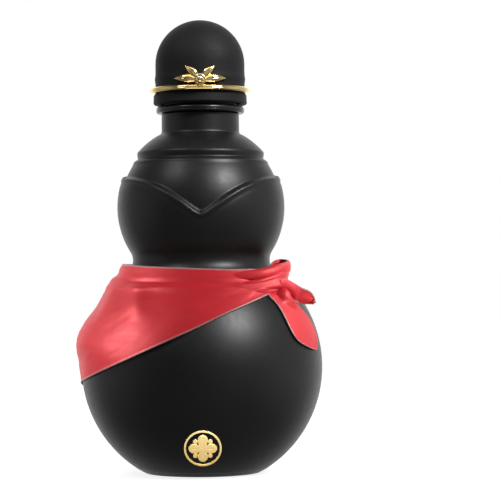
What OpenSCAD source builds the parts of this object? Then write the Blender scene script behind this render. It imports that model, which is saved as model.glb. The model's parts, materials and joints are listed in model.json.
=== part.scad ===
// Double-wall steel gourd bottle with a domed screw cap, a gold hoop round
// the cap and a satin kerchief tied at the waist.
// Origin: centre of the foot, on the surface it stands on. +Z up, front is -Y.

/* [Body] */
// Radius of the large lower bulb
lower_r = 55.2; // [54.6:0.1:55.8]
// Height of the centre of the lower bulb
lower_z = 48.8; // [48.4:0.1:49.2]
// Radius of the small upper bulb
upper_r = 38.4; // [38:0.1:38.8]
// Height of the centre of the upper bulb
upper_z = 121.9; // [121.6:0.1:122.2]
// Radius of the hollow curve that joins the bulbs at the waist
waist_round = 7; // [6.5:0.1:7.5]
// Sheet thickness of the outer shells
shell_t = 0.6; // [0.5:0.05:0.7]
// Height of the weld seam between the two outer shells, under the kerchief
seam_z = 91; // [89:0.5:91.5]

/* [Inner bottle] */
// Width of the vacuum gap between the outer shells and the inner bottle
vac_gap = 4; // [3.5:0.1:4.4]
// Sheet thickness of the inner bottle
liner_t = 0.5; // [0.4:0.05:0.6]
// Height of the underside of the inner bottle's flat floor
liner_floor_z = 7; // [6.5:0.1:8]
// Height of the weld seam between the two halves of the inner bottle
liner_seam_z = 87.5; // [84:0.5:87.5]
// Radius of the mouth, inside the inner bottle
mouth_r = 14.5; // [14.5:0.1:14.5]

/* [Neckline relief] */
// Depth to which the band above the V neckline is pressed in
relief_depth = 1.7; // [1.2:0.1:2]
// Height of the lowest point of the V, at the front
vee_tip_z = 118.3; // [116:0.1:122]
// Height of the neckline at the sides and back
vee_side_z = 136; // [135:0.1:137]
// Angle round the body over which the V flattens out
vee_spread = 35; // [28:1:42]

/* [Neck] */
// Radius of the plain neck below the collar
neck_r = 17.8; // [17.5:0.1:18]
// Height at which the plain neck ends and the collar begins
neck_top_z = 165; // [164.5:0.1:165]
// Radius of the steel neck inside the threaded collar
spigot_r = 16.2; // [16.2:0.1:16.2]
// Height of the mouth's rim
rim_z = 186; // [186:0.1:186]
// Radius of the collar bead
collar_r = 20.2; // [19.6:0.1:20.6]

/* [Thread] */
// Advance of the cap thread in one turn
lead = 12; // [12:1:12]
// Number of thread starts
starts = 3; // [3:1:3]
// Angle that each thread rib spans
rib_span = 130; // [90:5:140]

/* [Cap] */
// Outer radius of the cap dome and its skirt
cap_r = 20.5; // [20.2:0.1:20.6]
// Height of the centre of the cap's round top
cap_ball_z = 187.5; // [187.5:0.1:188.5]
// Wall thickness of the cap dome
cap_wall = 1.6; // [1.6:0.1:1.6]
// Radius of the flange at the foot of the cap
flange_r = 21.5; // [21.2:0.1:21.8]
// Height of the underside of the flange
flange_z = 169; // [168.8:0.1:169.4]
// Height of the top of the flange, where the hoop rests
flange_top_z = 174; // [174:0.1:174]

/* [Hoop] */
// Diameter of the hoop wire
wire_d = 2.4; // [2:0.1:2.4]
// Radius of the middle of the hoop wire
hoop_r = 22.3; // [22.3:0.1:22.6]
// Half width of the leaf sprig on the front of the hoop
sprig_half = 11.7; // [10:0.1:12.5]

/* [Emblem] */
// Outer radius of the round gold emblem low on the front
emblem_r = 8.3; // [6:0.1:9]
// Height of the centre of the emblem
emblem_z = 14.6; // [14:0.1:18]
// Thickness of the emblem
emblem_t = 0.3; // [0.2:0.05:0.5]

/* [Kerchief] */
// Direction of the knot, in degrees from +X towards +Y
knot_az = -25; // [-40:1:0]
// Height of the top of the folded band
band_top_z = 96.4; // [95:0.1:97]
// Height at which the hanging part leaves the folded band
drape_top_z = 82.5; // [81:0.1:84]
// Height of the lowest corner of the hanging part
drape_low_z = 36.8; // [34:0.2:42]

/* [Hidden] */
$fn = 96;

// ---- the gourd's outline -------------------------------------------------
// The waist curve's centre, from the two bulbs and its own radius.
bulb_gap = upper_z - lower_z;
waist_a = (bulb_gap * bulb_gap + pow(lower_r + waist_round, 2)
           - pow(upper_r + waist_round, 2)) / (2 * bulb_gap);
waist_z = lower_z + waist_a;
waist_c = sqrt(pow(lower_r + waist_round, 2) - waist_a * waist_a);
// Directions from the bulb centres to the waist curve's centre.
low_dir = atan2(waist_a, waist_c);
up_dir = atan2(waist_z - upper_z, waist_c);

// Points along an arc about (cx, cz).
function arc(cx, cz, r, a0, a1, n) =
    [for (i = [0:n]) let (a = a0 + (a1 - a0) * i / n)
        [cx + r * cos(a), cz + r * sin(a)]];

// Radius of the gourd, d inside its skin, at height z.
function low_touch(d) = lower_z + (lower_r - d) * sin(low_dir);
function up_touch(d) = upper_z + (upper_r - d) * sin(up_dir);
function gourd_r(z, d = 0) =
    z < low_touch(d) ? sqrt(pow(lower_r - d, 2) - pow(z - lower_z, 2)) :
    z < up_touch(d) ? waist_c - sqrt(pow(waist_round + d, 2) - pow(z - waist_z, 2)) :
    sqrt(pow(upper_r - d, 2) - pow(z - upper_z, 2));

// Outline of the upper half, d inside the skin, from height z0 up the waist
// and the upper bulb to the angle a1 on that bulb.
function upper_outline(d, z0, a1) = concat(
    arc(0, lower_z, lower_r - d, asin((z0 - lower_z) / (lower_r - d)), low_dir, 2),
    arc(waist_c, waist_z, waist_round + d, 180 + low_dir - 6, 180 + up_dir, 9),
    arc(0, upper_z, upper_r - d, up_dir + 3, a1, 32));

function tanh(x) = (exp(2 * x) - 1) / (exp(2 * x) + 1);
// Height of the neckline above a point x to the side of the front.
function vee_z(x) = vee_tip_z + (vee_side_z - vee_tip_z) * 1.004
    * tanh(asin(min(1, abs(x) / (upper_r - 1.9))) / vee_spread);

module ring_of(points) rotate_extrude() polygon(points);
module disc(r, z0, z1) translate([0, 0, z0]) cylinder(r = r, h = z1 - z0);

// The space pressed in above the neckline, for a surface d inside the skin.
module relief(d) {
    r0 = upper_r - relief_depth - d;
    intersection() {
        ring_of(concat(
            arc(0, upper_z, r0, -18, asin(20.9 / r0), 16),
            [[29.9 - d, 143.8], [29.1 - d, 144.8], [29.1 - d, 145.6 + d],
             [31, 146.4 + d], [46, 146.4 + d], [46, upper_z - 0.309 * r0]]));
        union() {
            translate([0, 0.001, 0]) rotate([90, 0, 0]) linear_extrude(50)
                polygon(concat(
                    [for (i = [-12:12]) let (x = 36 * sin(i * 7.5)) [x, vee_z(x) - d]],
                    [[46, vee_side_z - d], [46, 150], [-46, 150], [-46, vee_side_z - d]]));
            translate([-46, 0, vee_side_z - d]) cube([92, 50, 14 + d]);
        }
    }
}

// Solid of the upper half, d inside the skin, with the neckline pressed in.
module upper_body(d, z0, z1) {
    difference() {
        ring_of(concat(
            [[0, z0]],
            upper_outline(d, z0, 60),
            [[18.4 - d, 155.5 - d * 0.6], [neck_r + 0.2 - d, 156.2],
             [neck_r - d, 157.5], [neck_r - d, neck_top_z - d],
             [spigot_r - d, neck_top_z - d], [spigot_r - d, z1], [0, z1]]));
        relief(d);
    }
}

// ---- bottle --------------------------------------------------------------
module lower_shell() {
    color("#1b1b1d") difference() {
        intersection() {
            translate([0, 0, lower_z]) sphere(r = lower_r);
            disc(lower_r + 5, 2, seam_z);
        }
        translate([0, 0, lower_z]) sphere(r = lower_r - shell_t);
    }
}

module upper_shell() {
    color("#1b1b1d") difference() {
        upper_body(0, seam_z, rim_z - shell_t);
        upper_body(shell_t, seam_z - 1, rim_z + 1);
    }
}

// Pressed dish that closes the bottom and forms the foot ring.
module base_cup() {
    r2 = gourd_r(2);
    color("#1b1b1d") difference() {
        ring_of([[0, 2.4], [22.8, 2.4], [22.8, 0.4], [26.2, 0.4],
                 [gourd_r(0.7) - 0.05, 0.7], [r2, 2], [r2 - 0.85, 2],
                 [26.4, 1.05], [23.4, 1.05], [23.4, 3], [0, 3]]);
        disc(1.2, 2, 4);
    }
}

// Rubber foot, hollowed where it covers the vacuum seal.
module base_pad() {
    color("#232325") difference() {
        ring_of([[0, 0], [21.9, 0], [22.5, 0.5], [22.5, 2.4], [0, 2.4]]);
        disc(5, 1.2, 3);
        for (r = [12, 17]) difference() {
            disc(r + 0.6, -1, 0.3);
            disc(r - 0.6, -2, 1);
        }
    }
}

// Bead of solder glass that seals the vacuum port.
module vacuum_plug() {
    color("#b9bdc2") union() {
        ring_of([[0, 1.5], [2, 1.6], [2.9, 2], [3, 2.4], [0, 2.4]]);
        disc(1.2, 2.4, 3.2);
    }
}

// Gas-absorbing pill welded under the inner bottle.
module getter() {
    color("#8c9095") ring_of([[0, 5.2], [5.4, 5.2], [6, 5.7], [6, 7], [0, 7]]);
}

inset = shell_t + vac_gap;
module liner_lower() {
    f = liner_floor_z;
    ro = lower_r - inset;
    color("#c9cbce") difference() {
        intersection() {
            translate([0, 0, lower_z]) sphere(r = ro);
            disc(ro + 5, f, liner_seam_z);
        }
        intersection() {
            translate([0, 0, lower_z]) sphere(r = ro - liner_t);
            disc(ro + 5, f + liner_t, liner_seam_z + 5);
        }
    }
}

module liner_half(d, z0, z1, r) {
    ring_of(concat([[0, z0]],
        upper_outline(d, z0, acos((r + 1) / (upper_r - d))),
        [[r + 0.35, upper_z + sqrt(pow(upper_r - d, 2) - pow(r + 1, 2)) + 0.5],
         [r, upper_z + sqrt(pow(upper_r - d, 2) - pow(r + 1, 2)) + 1.4],
         [r, z1], [0, z1]]));
}

module liner_upper() {
    color("#c9cbce") difference() {
        union() {
            liner_half(inset, liner_seam_z, rim_z, mouth_r + liner_t);
            disc(spigot_r, rim_z - shell_t, rim_z);
        }
        liner_half(inset + liner_t, liner_seam_z - 1, rim_z + 1, mouth_r);
    }
}

// ---- thread --------------------------------------------------------------
// One helical rib. Its foot is at r_foot and its crest at r_crest.
module rib(r_foot, r_crest, w_foot, w_crest, z0, az0) {
    n = 26;
    pts = [for (i = [0:n]) let (
            a = az0 + rib_span * i / n,
            z = z0 + lead * rib_span / 360 * i / n,
            t = min(1, 0.15 + min(i, n - i) * 0.45),
            rc = r_foot + (r_crest - r_foot) * t)
        each [
            [r_foot * cos(a), r_foot * sin(a), z - w_foot / 2],
            [rc * cos(a), rc * sin(a), z - w_crest / 2],
            [rc * cos(a), rc * sin(a), z + w_crest / 2],
            [r_foot * cos(a), r_foot * sin(a), z + w_foot / 2]]];
    out = r_crest > r_foot;
    side = [for (i = [0:n - 1], k = [0:3]) let (
            a = i * 4 + k, b = i * 4 + (k + 1) % 4, c = b + 4, d = a + 4)
        each (out ? [[a, b, c], [a, c, d]] : [[a, c, b], [a, d, c]])];
    e = n * 4;
    ends = out ? [[0, 2, 1], [0, 3, 2], [e, e + 1, e + 2], [e, e + 2, e + 3]]
               : [[0, 1, 2], [0, 2, 3], [e, e + 2, e + 1], [e, e + 3, e + 2]];
    polyhedron(points = pts, faces = concat(side, ends));
}

// Moulded collar pressed on the neck: bead below, outer thread above.
module neck_collar() {
    z = neck_top_z;
    color("#141416") union() {
        ring_of([[spigot_r, z], [collar_r - 0.5, z], [collar_r, z + 0.5],
                 [collar_r, z + 0.9], [collar_r - 0.2, z + 1.1],
                 [collar_r, z + 1.3], [collar_r, z + 2.2],
                 [collar_r - 0.2, z + 2.7], [collar_r - 0.8, z + 3],
                 [17.3, z + 3.2], [17, z + 3.5], [17, 184],
                 [16.8, 184.4], [spigot_r, 184.4]]);
        for (i = [0:starts - 1])
            rib(16.8, 17.75, 2.0, 0.9, 173.2, i * 360 / starts);
    }
}

// ---- emblem --------------------------------------------------------------
// Outline of a flower with four round petals.
function petal_r(a) = 1.1 + 5.2 * pow(abs(cos(2 * a)), 0.6);
module emblem() {
    color("#d8b45a") intersection() {
        difference() {
            translate([0, 0, lower_z]) sphere(r = lower_r + emblem_t);
            translate([0, 0, lower_z]) sphere(r = lower_r);
        }
        translate([0, 0, emblem_z]) rotate([90, 0, 0]) linear_extrude(70) union() {
            difference() {
                circle(r = emblem_r);
                circle(r = emblem_r - 0.9);
            }
            scale(emblem_r / 8.3) {
                polygon([for (i = [0:71]) let (a = i * 5)
                    [petal_r(a) * cos(a), petal_r(a) * sin(a)]]);
                for (i = [0:3]) rotate(45 + i * 90) translate([4.6, 0])
                    circle(r = 1.1, $fn = 32);
            }
        }
    }
}

// ---- stopper -------------------------------------------------------------
module stopper_cup() {
    color("#d9d9d6") ring_of([
        [0, 171], [12.4, 171], [13.3, 172.2], [13.3, 180.4], [12.2, 180.4],
        [12.2, 184.6], [13.3, 184.6], [13.3, 186.1], [15.9, 186.1],
        [15.9, 187.4], [11, 187.4], [11, 172.6], [0, 172.6]]);
}

module stopper_foam() {
    color("#efefec") disc(11, 172.6, 187);
}

// Lid of the stopper, with the stem that the cap turns on.
module stopper_lid() {
    color("#d9d9d6") difference() {
        union() {
            disc(15.9, 187.4, 189);
            disc(2.4, 189, 193);
        }
        difference() {
            disc(5, 191.1, 191.8);
            disc(1.8, 190, 193);
        }
    }
}

// Silicone seal with two lips that wipe the mouth.
module seal_ring() {
    r = mouth_r - 0.05;
    color("#c8ccd0") ring_of([
        [12.2, 180.4], [13.4, 180.4], [13.9, 181], [r, 181.2], [r, 181.7],
        [13.7, 182.1], [13.7, 182.9], [r, 183.3], [r, 183.8], [13.9, 184],
        [13.4, 184.6], [12.2, 184.6]]);
}

// Spring clip on the stem, above the cap insert's roof.
module stem_clip() {
    color("#b8bcc0") difference() {
        disc(4.4, 191.1, 191.8);
        disc(1.8, 190, 193);
        translate([0, -1.3, 190]) cube([6, 2.6, 3]);
    }
}

// ---- cap -----------------------------------------------------------------
// Small swell low on the skirt of the cap.
function skirt_r(z) = cap_r + 0.3 * exp(-pow((z - 180.6) / 1.6, 2));
module cap_dome() {
    ri = cap_r - cap_wall;
    color("#232426") ring_of(concat(
        [[ri, flange_top_z], [cap_r - 0.3, flange_top_z], [cap_r, flange_top_z + 0.4]],
        [for (i = [0:15]) let (z = 175.2 + i * 0.75) [skirt_r(z), z]],
        arc(0, cap_ball_z, cap_r, 0, 87, 29), [[0, cap_ball_z + cap_r]],
        [[0, cap_ball_z + ri]], arc(0, cap_ball_z, ri, 87, 0, 20)));
}

// Inner part of the cap: flange below, threaded sleeve, and roof with the
// hole for the stopper's stem.
module cap_insert() {
    z = flange_z;
    t = flange_top_z;
    ri = cap_r - cap_wall;
    color("#232426") union() {
        ring_of([
            [18, z + 0.3], [18.3, z], [flange_r - 0.7, z], [flange_r, z + 0.6],
            [flange_r - 0.2, t - 0.7], [flange_r - 0.8, t], [ri, t],
            [ri, cap_ball_z], [18.3, 190.9], [2.45, 190.9], [2.45, 189.1],
            [18, 189.1]]);
        for (i = [0:starts - 1])
            rib(18.2, 17.25, 2.0, 0.9, 171.5, i * 360 / starts);
    }
}

// ---- hoop ----------------------------------------------------------------
hoop_z = flange_top_z + 0.1 + wire_d / 2;
module hoop_wire() {
    color("#e3c06a") translate([0, 0, hoop_z]) rotate_extrude()
        translate([hoop_r, 0]) circle(r = wire_d / 2, $fn = 48);
}

// Outline of a pointed leaf of length l and half width w, along +X.
function leaf(l, w) = concat(
    [for (i = [0:12]) [l * i / 12, w * pow(sin(180 * pow(i / 12, 0.85)), 0.9)]],
    [for (i = [11:-1:1]) [l * i / 12, -w * pow(sin(180 * pow(i / 12, 0.85)), 0.9)]]);

bead = [0, -(hoop_r + 2), hoop_z + 3.4];
// Leaf sprig that lies round the front of the cap, cast in one piece.
module hoop_leaves() {
    k = sprig_half / 11.7;
    color("#e3c06a") difference() {
        intersection() {
            difference() {
                disc(hoop_r + 0.7, hoop_z + 1.2, 190);
                disc(hoop_r - 0.8, hoop_z, 191);
            }
            translate([0, 0, hoop_z]) rotate([90, 0, 0]) linear_extrude(40)
            offset(delta = -0.25) offset(r = 0.25) union() {
                for (s = [0, 1]) mirror([s, 0]) {
                    translate([1.2 * k, 3.0]) rotate(9) polygon(leaf(10.8 * k, 1.9));
                    translate([0.8 * k, 4.2]) rotate(46) polygon(leaf(8.2 * k, 1.7));
                }
                translate([0, 3.4]) circle(r = 2.8);
                translate([-2.4, 1.0]) square([4.8, 2]);
            }
        }
        translate(bead) sphere(r = 2.3);
    }
}

module hoop_bead() {
    color("#f0d48a") translate(bead) sphere(r = 2.3);
}

// ---- kerchief ------------------------------------------------------------
// A sheet of cloth that lies on the gourd. faz and fz give direction and
// height over a grid of 0 to 1 each way, fin and fout the stand-off of its
// two faces.
module cloth(nu, nv, faz, fz, fin, fout) {
    function at(i, j, off) = let (
        u = i / nu, v = j / nv, z = fz(u, v), a = faz(u, v),
        r = gourd_r(z) + off(u, v)) [r * cos(a), r * sin(a), z];
    m = (nu + 1) * (nv + 1);
    pts = [for (off = [fin, fout], i = [0:nu], j = [0:nv]) at(i, j, off)];
    function id(s, i, j) = s * m + i * (nv + 1) + j;
    faces = concat(
        [for (i = [0:nu - 1], j = [0:nv - 1]) each [
            [id(1, i, j), id(1, i + 1, j), id(1, i + 1, j + 1)],
            [id(1, i, j), id(1, i + 1, j + 1), id(1, i, j + 1)],
            [id(0, i, j), id(0, i + 1, j + 1), id(0, i + 1, j)],
            [id(0, i, j), id(0, i, j + 1), id(0, i + 1, j + 1)]]],
        [for (i = [0:nu - 1]) each [
            [id(0, i, 0), id(0, i + 1, 0), id(1, i + 1, 0)],
            [id(0, i, 0), id(1, i + 1, 0), id(1, i, 0)],
            [id(1, i, nv), id(1, i + 1, nv), id(0, i + 1, nv)],
            [id(1, i, nv), id(0, i + 1, nv), id(0, i, nv)]]],
        [for (j = [0:nv - 1]) each [
            [id(0, 0, j), id(1, 0, j), id(1, 0, j + 1)],
            [id(0, 0, j), id(1, 0, j + 1), id(0, 0, j + 1)],
            [id(0, nu, j), id(1, nu, j + 1), id(1, nu, j)],
            [id(0, nu, j), id(0, nu, j + 1), id(1, nu, j + 1)]]]);
    polyhedron(points = pts, faces = faces);
}

// Folded band round the waist, open where the knot sits.
module kerchief_band() {
    gap = 14;
    color("#c9353c") difference() {
        ring_of(concat(
            [for (i = [0:6]) let (z = drape_top_z + (band_top_z - 0.4 - drape_top_z) * i / 6)
                [gourd_r(z) + 0.5, z]],
            [[gourd_r(band_top_z) + 1.6, band_top_z], [36.2, band_top_z],
             [37.8, 94.2], [38.4, 92], [40.9, 89.2], [42.9, 86.6],
             [gourd_r(drape_top_z) + 1.8, drape_top_z]]));
        translate([0, 0, 70]) linear_extrude(40) polygon([[0, 0],
            [80 * cos(knot_az - gap), 80 * sin(knot_az - gap)],
            [90 * cos(knot_az), 90 * sin(knot_az)],
            [80 * cos(knot_az + gap), 80 * sin(knot_az + gap)]]);
    }
}

// Height of the kerchief's edge, at the angle a away from its low corner.
function edge_z(a) = drape_low_z
    + (drape_top_z - drape_low_z) * pow(a / 165, 1.15);

// Hanging corner of the kerchief. Its edge falls from the knot, both ways
// round, to the corner opposite.
module kerchief_drape() {
    reach = 150;
    color("#c9353c") cloth(44, 7,
        function (u, v) knot_az + 180 + reach * (2 * u - 1),
        function (u, v) drape_top_z - v * (drape_top_z - edge_z(reach * abs(2 * u - 1))),
        function (u, v) 0.6,
        function (u, v) 1.7 + 2 * sin(180 * v) * (1 - pow(2 * u - 1, 4)));
}

module kerchief_knot() {
    half = 13.8;
    color("#c9353c") cloth(10, 8,
        function (u, v) knot_az + half * (2 * u - 1),
        function (u, v) band_top_z + 0.6 - v * (band_top_z + 0.6 - drape_top_z),
        function (u, v) 0.6,
        function (u, v) 2.2 + 5.4 * pow(sin(180 * (0.06 + 0.88 * u)), 0.8)
            * pow(sin(180 * (0.9 - 0.75 * v)), 0.8));
}

// Longer tail, lying down the front right of the lower bulb.
module kerchief_tail_long() {
    color("#c9353c") cloth(5, 12,
        function (u, v) knot_az - 17 + 24 * v + (u - 0.5) * (7 + 12 * sin(150 * v)),
        function (u, v) drape_top_z - 25.7 * v + (u - 0.5) * 7 * v,
        function (u, v) 0.6,
        function (u, v) 2.4 + 0.8 * sin(180 * v));
}

// Shorter tail, standing off the body to the right of the knot.
module kerchief_tail_short() {
    color("#c9353c") difference() {
        hull() {
            translate([43.5, -14.5, 87]) sphere(r = 1, $fn = 20);
            translate([50, -13, 85]) sphere(r = 1, $fn = 20);
            translate([52.4, -13.5, 78.4]) sphere(r = 0.9, $fn = 20);
            translate([45.4, -19, 81.2]) sphere(r = 1, $fn = 20);
        }
        kerchief_knot();
    }
}

lower_shell();
upper_shell();
base_cup();
base_pad();
vacuum_plug();
getter();
liner_lower();
liner_upper();
neck_collar();
emblem();
stopper_cup();
stopper_foam();
stopper_lid();
seal_ring();
stem_clip();
cap_dome();
cap_insert();
hoop_wire();
hoop_leaves();
hoop_bead();
kerchief_band();
kerchief_drape();
kerchief_knot();
kerchief_tail_long();
kerchief_tail_short();
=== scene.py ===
"""Gourd bottle: looks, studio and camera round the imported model.

Lengths in the geometry code are millimetres until build() turns them into
metres. +Z is up, the front faces -Y, and +X is the right of the picture.
"""
import json
import math

import bpy
import numpy as np
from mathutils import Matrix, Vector, kdtree

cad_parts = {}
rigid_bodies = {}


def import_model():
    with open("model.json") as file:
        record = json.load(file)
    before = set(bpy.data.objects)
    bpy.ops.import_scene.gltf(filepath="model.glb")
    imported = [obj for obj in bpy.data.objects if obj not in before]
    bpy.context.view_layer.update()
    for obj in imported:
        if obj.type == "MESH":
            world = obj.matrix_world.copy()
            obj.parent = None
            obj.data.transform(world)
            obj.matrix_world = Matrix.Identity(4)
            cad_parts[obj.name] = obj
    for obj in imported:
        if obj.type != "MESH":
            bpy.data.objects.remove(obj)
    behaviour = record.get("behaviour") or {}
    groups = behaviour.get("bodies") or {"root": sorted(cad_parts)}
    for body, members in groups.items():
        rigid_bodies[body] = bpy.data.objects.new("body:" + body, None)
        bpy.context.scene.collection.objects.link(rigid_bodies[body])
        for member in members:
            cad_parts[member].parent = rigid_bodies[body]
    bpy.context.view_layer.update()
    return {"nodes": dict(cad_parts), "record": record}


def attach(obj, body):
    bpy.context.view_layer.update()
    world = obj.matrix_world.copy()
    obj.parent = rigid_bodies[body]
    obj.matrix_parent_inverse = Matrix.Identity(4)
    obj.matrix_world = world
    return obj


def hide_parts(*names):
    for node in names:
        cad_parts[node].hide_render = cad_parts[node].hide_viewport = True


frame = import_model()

NODES = frame["nodes"]
MM = 0.001
PI = math.pi

# ---------------------------------------------------------------- dimensions
LOWER_R, LOWER_Z = 55.2, 48.8
UPPER_R, UPPER_Z = 38.4, 121.9
WAIST_ROUND = 7.0
SHELL_T = 0.6
SEAM_Z = 91.0
RELIEF = 1.7
VEE_TIP, VEE_SIDE, VEE_SPREAD = 118.3, 136.0, 35.0
NECK_R, NECK_TOP, SPIGOT_R = 17.8, 165.0, 16.2
HOOP_Z, HOOP_R, WIRE_D = 175.3, 22.3, 2.4
KNOT_AZ = -25.0

_gap = UPPER_Z - LOWER_Z
_wa = (_gap**2 + (LOWER_R + WAIST_ROUND) ** 2 - (UPPER_R + WAIST_ROUND) ** 2) / (2 * _gap)
WAIST_Z = LOWER_Z + _wa
WAIST_C = math.sqrt((LOWER_R + WAIST_ROUND) ** 2 - _wa**2)
LOW_DIR = math.atan2(_wa, WAIST_C)
UP_DIR = math.atan2(WAIST_Z - UPPER_Z, WAIST_C)
LOW_TOUCH = LOWER_Z + LOWER_R * math.sin(LOW_DIR)
UP_TOUCH = UPPER_Z + UPPER_R * math.sin(UP_DIR)


def gourd_r(z):
    """Radius of the bottle's skin at height z."""
    z = np.asarray(z, float)
    low = np.sqrt(np.maximum(LOWER_R**2 - (z - LOWER_Z) ** 2, 0))
    mid = WAIST_C - np.sqrt(np.maximum(WAIST_ROUND**2 - (z - WAIST_Z) ** 2, 0))
    top = np.sqrt(np.maximum(UPPER_R**2 - (z - UPPER_Z) ** 2, 0))
    return np.where(z < LOW_TOUCH, low, np.where(z < UP_TOUCH, mid, top))


def ease(x):
    x = np.clip(x, 0, 1)
    return x * x * x * (10 - 15 * x + 6 * x * x)


def bump_at(x, c, w):
    return np.exp(-(((x - c) / w) ** 2))


# ------------------------------------------------------------- mesh building
def build(name, verts, faces, uvs=None, attrs=None, weighted=False):
    me = bpy.data.meshes.new(name)
    me.from_pydata((np.asarray(verts, float) * MM).tolist(), [], [list(f) for f in faces])
    me.update()
    me.shade_smooth()
    if uvs is not None:
        loops = np.zeros(len(me.loops), np.int32)
        me.loops.foreach_get("vertex_index", loops)
        layer = me.uv_layers.new(name="cloth")
        layer.data.foreach_set("uv", np.asarray(uvs, np.float32)[loops].ravel())
    for key, values in (attrs or {}).items():
        a = me.attributes.new(key, "FLOAT", "POINT")
        a.data.foreach_set("value", np.asarray(values, np.float32))
    ob = bpy.data.objects.new(name, me)
    bpy.context.scene.collection.objects.link(ob)
    if weighted:
        m = ob.modifiers.new("normals", "WEIGHTED_NORMAL")
        m.weight = 80
        m.keep_sharp = True
    return ob


def arc(cx, cz, r, a0, a1, n):
    """Points on an arc, angles in degrees."""
    return [
        (cx + r * math.cos(math.radians(a)), cz + r * math.sin(math.radians(a)))
        for a in np.linspace(a0, a1, n + 1)
    ]


def fillet(points, seg=5, closed=True):
    """Outline with each corner (r, z, radius) rounded."""
    out = []
    n = len(points)
    for i, p in enumerate(points):
        rad = p[2] if len(p) > 2 else 0
        if rad <= 0 or (not closed and i in (0, n - 1)):
            out.append((p[0], p[1]))
            continue
        a, b, c = (np.array(points[j % n][:2], float) for j in (i - 1, i, i + 1))
        u, v = (a - b) / np.linalg.norm(a - b), (c - b) / np.linalg.norm(c - b)
        half = math.acos(float(np.clip(u @ v, -1, 1))) / 2
        cut = min(rad / math.tan(half), 0.49 * np.linalg.norm(a - b), 0.49 * np.linalg.norm(c - b))
        rad = cut * math.tan(half)
        centre = b + (u + v) / np.linalg.norm(u + v) * rad / math.sin(half)
        s, e = b + u * cut - centre, b + v * cut - centre
        t0, t1 = math.atan2(s[1], s[0]), math.atan2(e[1], e[0])
        d = (t1 - t0 + PI) % (2 * PI) - PI
        for k in range(seg + 1):
            t = t0 + d * k / seg
            out.append((centre[0] + rad * math.cos(t), centre[1] + rad * math.sin(t)))
    return out


def subdivide(points, step, closed=True):
    """Adds points so that no run of the outline is longer than step."""
    out = []
    n = len(points)
    for i in range(n if closed else n - 1):
        a, b = np.array(points[i]), np.array(points[(i + 1) % n])
        k = max(1, int(math.ceil(np.linalg.norm(b - a) / step)))
        out += [tuple(a + (b - a) * j / k) for j in range(k)]
    if not closed:
        out.append(tuple(points[-1]))
    return out


def lathe_mesh(profile, n=192, closed=True):
    """Vertices and faces of a profile of (r, z) turned round Z. The profile
    runs anticlockwise in the (r, z) plane, so its outside faces out."""
    verts, rows = [], []
    for r, z in profile:
        if r < 1e-6:
            rows.append([len(verts)])
            verts.append((0, 0, z))
        else:
            rows.append(list(range(len(verts), len(verts) + n)))
            for k in range(n):
                a = 2 * PI * k / n
                verts.append((r * math.cos(a), r * math.sin(a), z))
    faces = []
    m = len(rows)
    for i in range(m if closed else m - 1):
        a, b = rows[i], rows[(i + 1) % m]
        if len(a) == 1 and len(b) == 1:
            continue
        for k in range(n):
            l = (k + 1) % n
            if len(a) == 1:
                faces.append((a[0], b[l], b[k]))
            elif len(b) == 1:
                faces.append((a[k], a[l], b[0]))
            else:
                faces.append((a[k], a[l], b[l], b[k]))
    return verts, faces


def lathe(name, profile, n=192, closed=True):
    v, f = lathe_mesh(profile, n, closed)
    return build(name, v, f, weighted=True)


def merged(*parts):
    """Joins (verts, faces) pairs."""
    verts, faces = [], []
    for v, f in parts:
        k = len(verts)
        verts += [tuple(p) for p in v]
        faces += [tuple(i + k for i in q) for q in f]
    return verts, faces


def grid_faces(nu, nv, start=0, wrap=False, flip=False):
    faces = []
    for i in range(nu if wrap else nu - 1):
        j2 = (i + 1) % nu
        for j in range(nv - 1):
            a, b = start + i * nv + j, start + j2 * nv + j
            q = (a, b, b + 1, a + 1)
            faces.append(q[::-1] if flip else q)
    return faces


def spline(points, n, values=None):
    """n points on a smooth curve through the control points, evenly spaced by
    chord length. Works on any number of columns."""
    p = np.asarray(points, float)
    d = np.r_[0, np.cumsum(np.linalg.norm(np.diff(p[:, :3], axis=0), axis=1))]
    m = len(p)
    h = np.diff(d)
    a = np.zeros((m, m))
    rhs = np.zeros_like(p)
    a[0, 0] = a[-1, -1] = 1
    for i in range(1, m - 1):
        a[i, i - 1], a[i, i], a[i, i + 1] = h[i - 1], 2 * (h[i - 1] + h[i]), h[i]
        rhs[i] = 6 * ((p[i + 1] - p[i]) / h[i] - (p[i] - p[i - 1]) / h[i - 1])
    c = np.linalg.solve(a, rhs)
    s = np.linspace(0, d[-1], n) if values is None else np.asarray(values) * d[-1]
    k = np.clip(np.searchsorted(d, s, side="right") - 1, 0, m - 2)
    t, hk = s - d[k], h[k]
    t, hk = t[:, None], hk[:, None]
    return (
        p[k]
        + t * ((p[k + 1] - p[k]) / hk - hk / 6 * (2 * c[k] + c[k + 1]))
        + t**2 * c[k] / 2
        + t**3 * (c[k + 1] - c[k]) / (6 * hk)
    )


# ------------------------------------------------------------------ materials
def shader(name, **settings):
    m = bpy.data.materials.new(name)
    m.use_nodes = True
    b = m.node_tree.nodes["Principled BSDF"]
    for key, value in settings.items():
        socket = b.inputs[key.replace("_", " ")]
        socket.default_value = (*value, 1) if isinstance(value, tuple) and len(value) == 3 else value
    return m, m.node_tree, b


def node(tree, kind, **props):
    n = tree.nodes.new("ShaderNode" + kind)
    for key, value in props.items():
        if key.startswith("in_"):
            n.inputs[key[3:].replace("_", " ")].default_value = value
        else:
            setattr(n, key, value)
    return n


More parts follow.
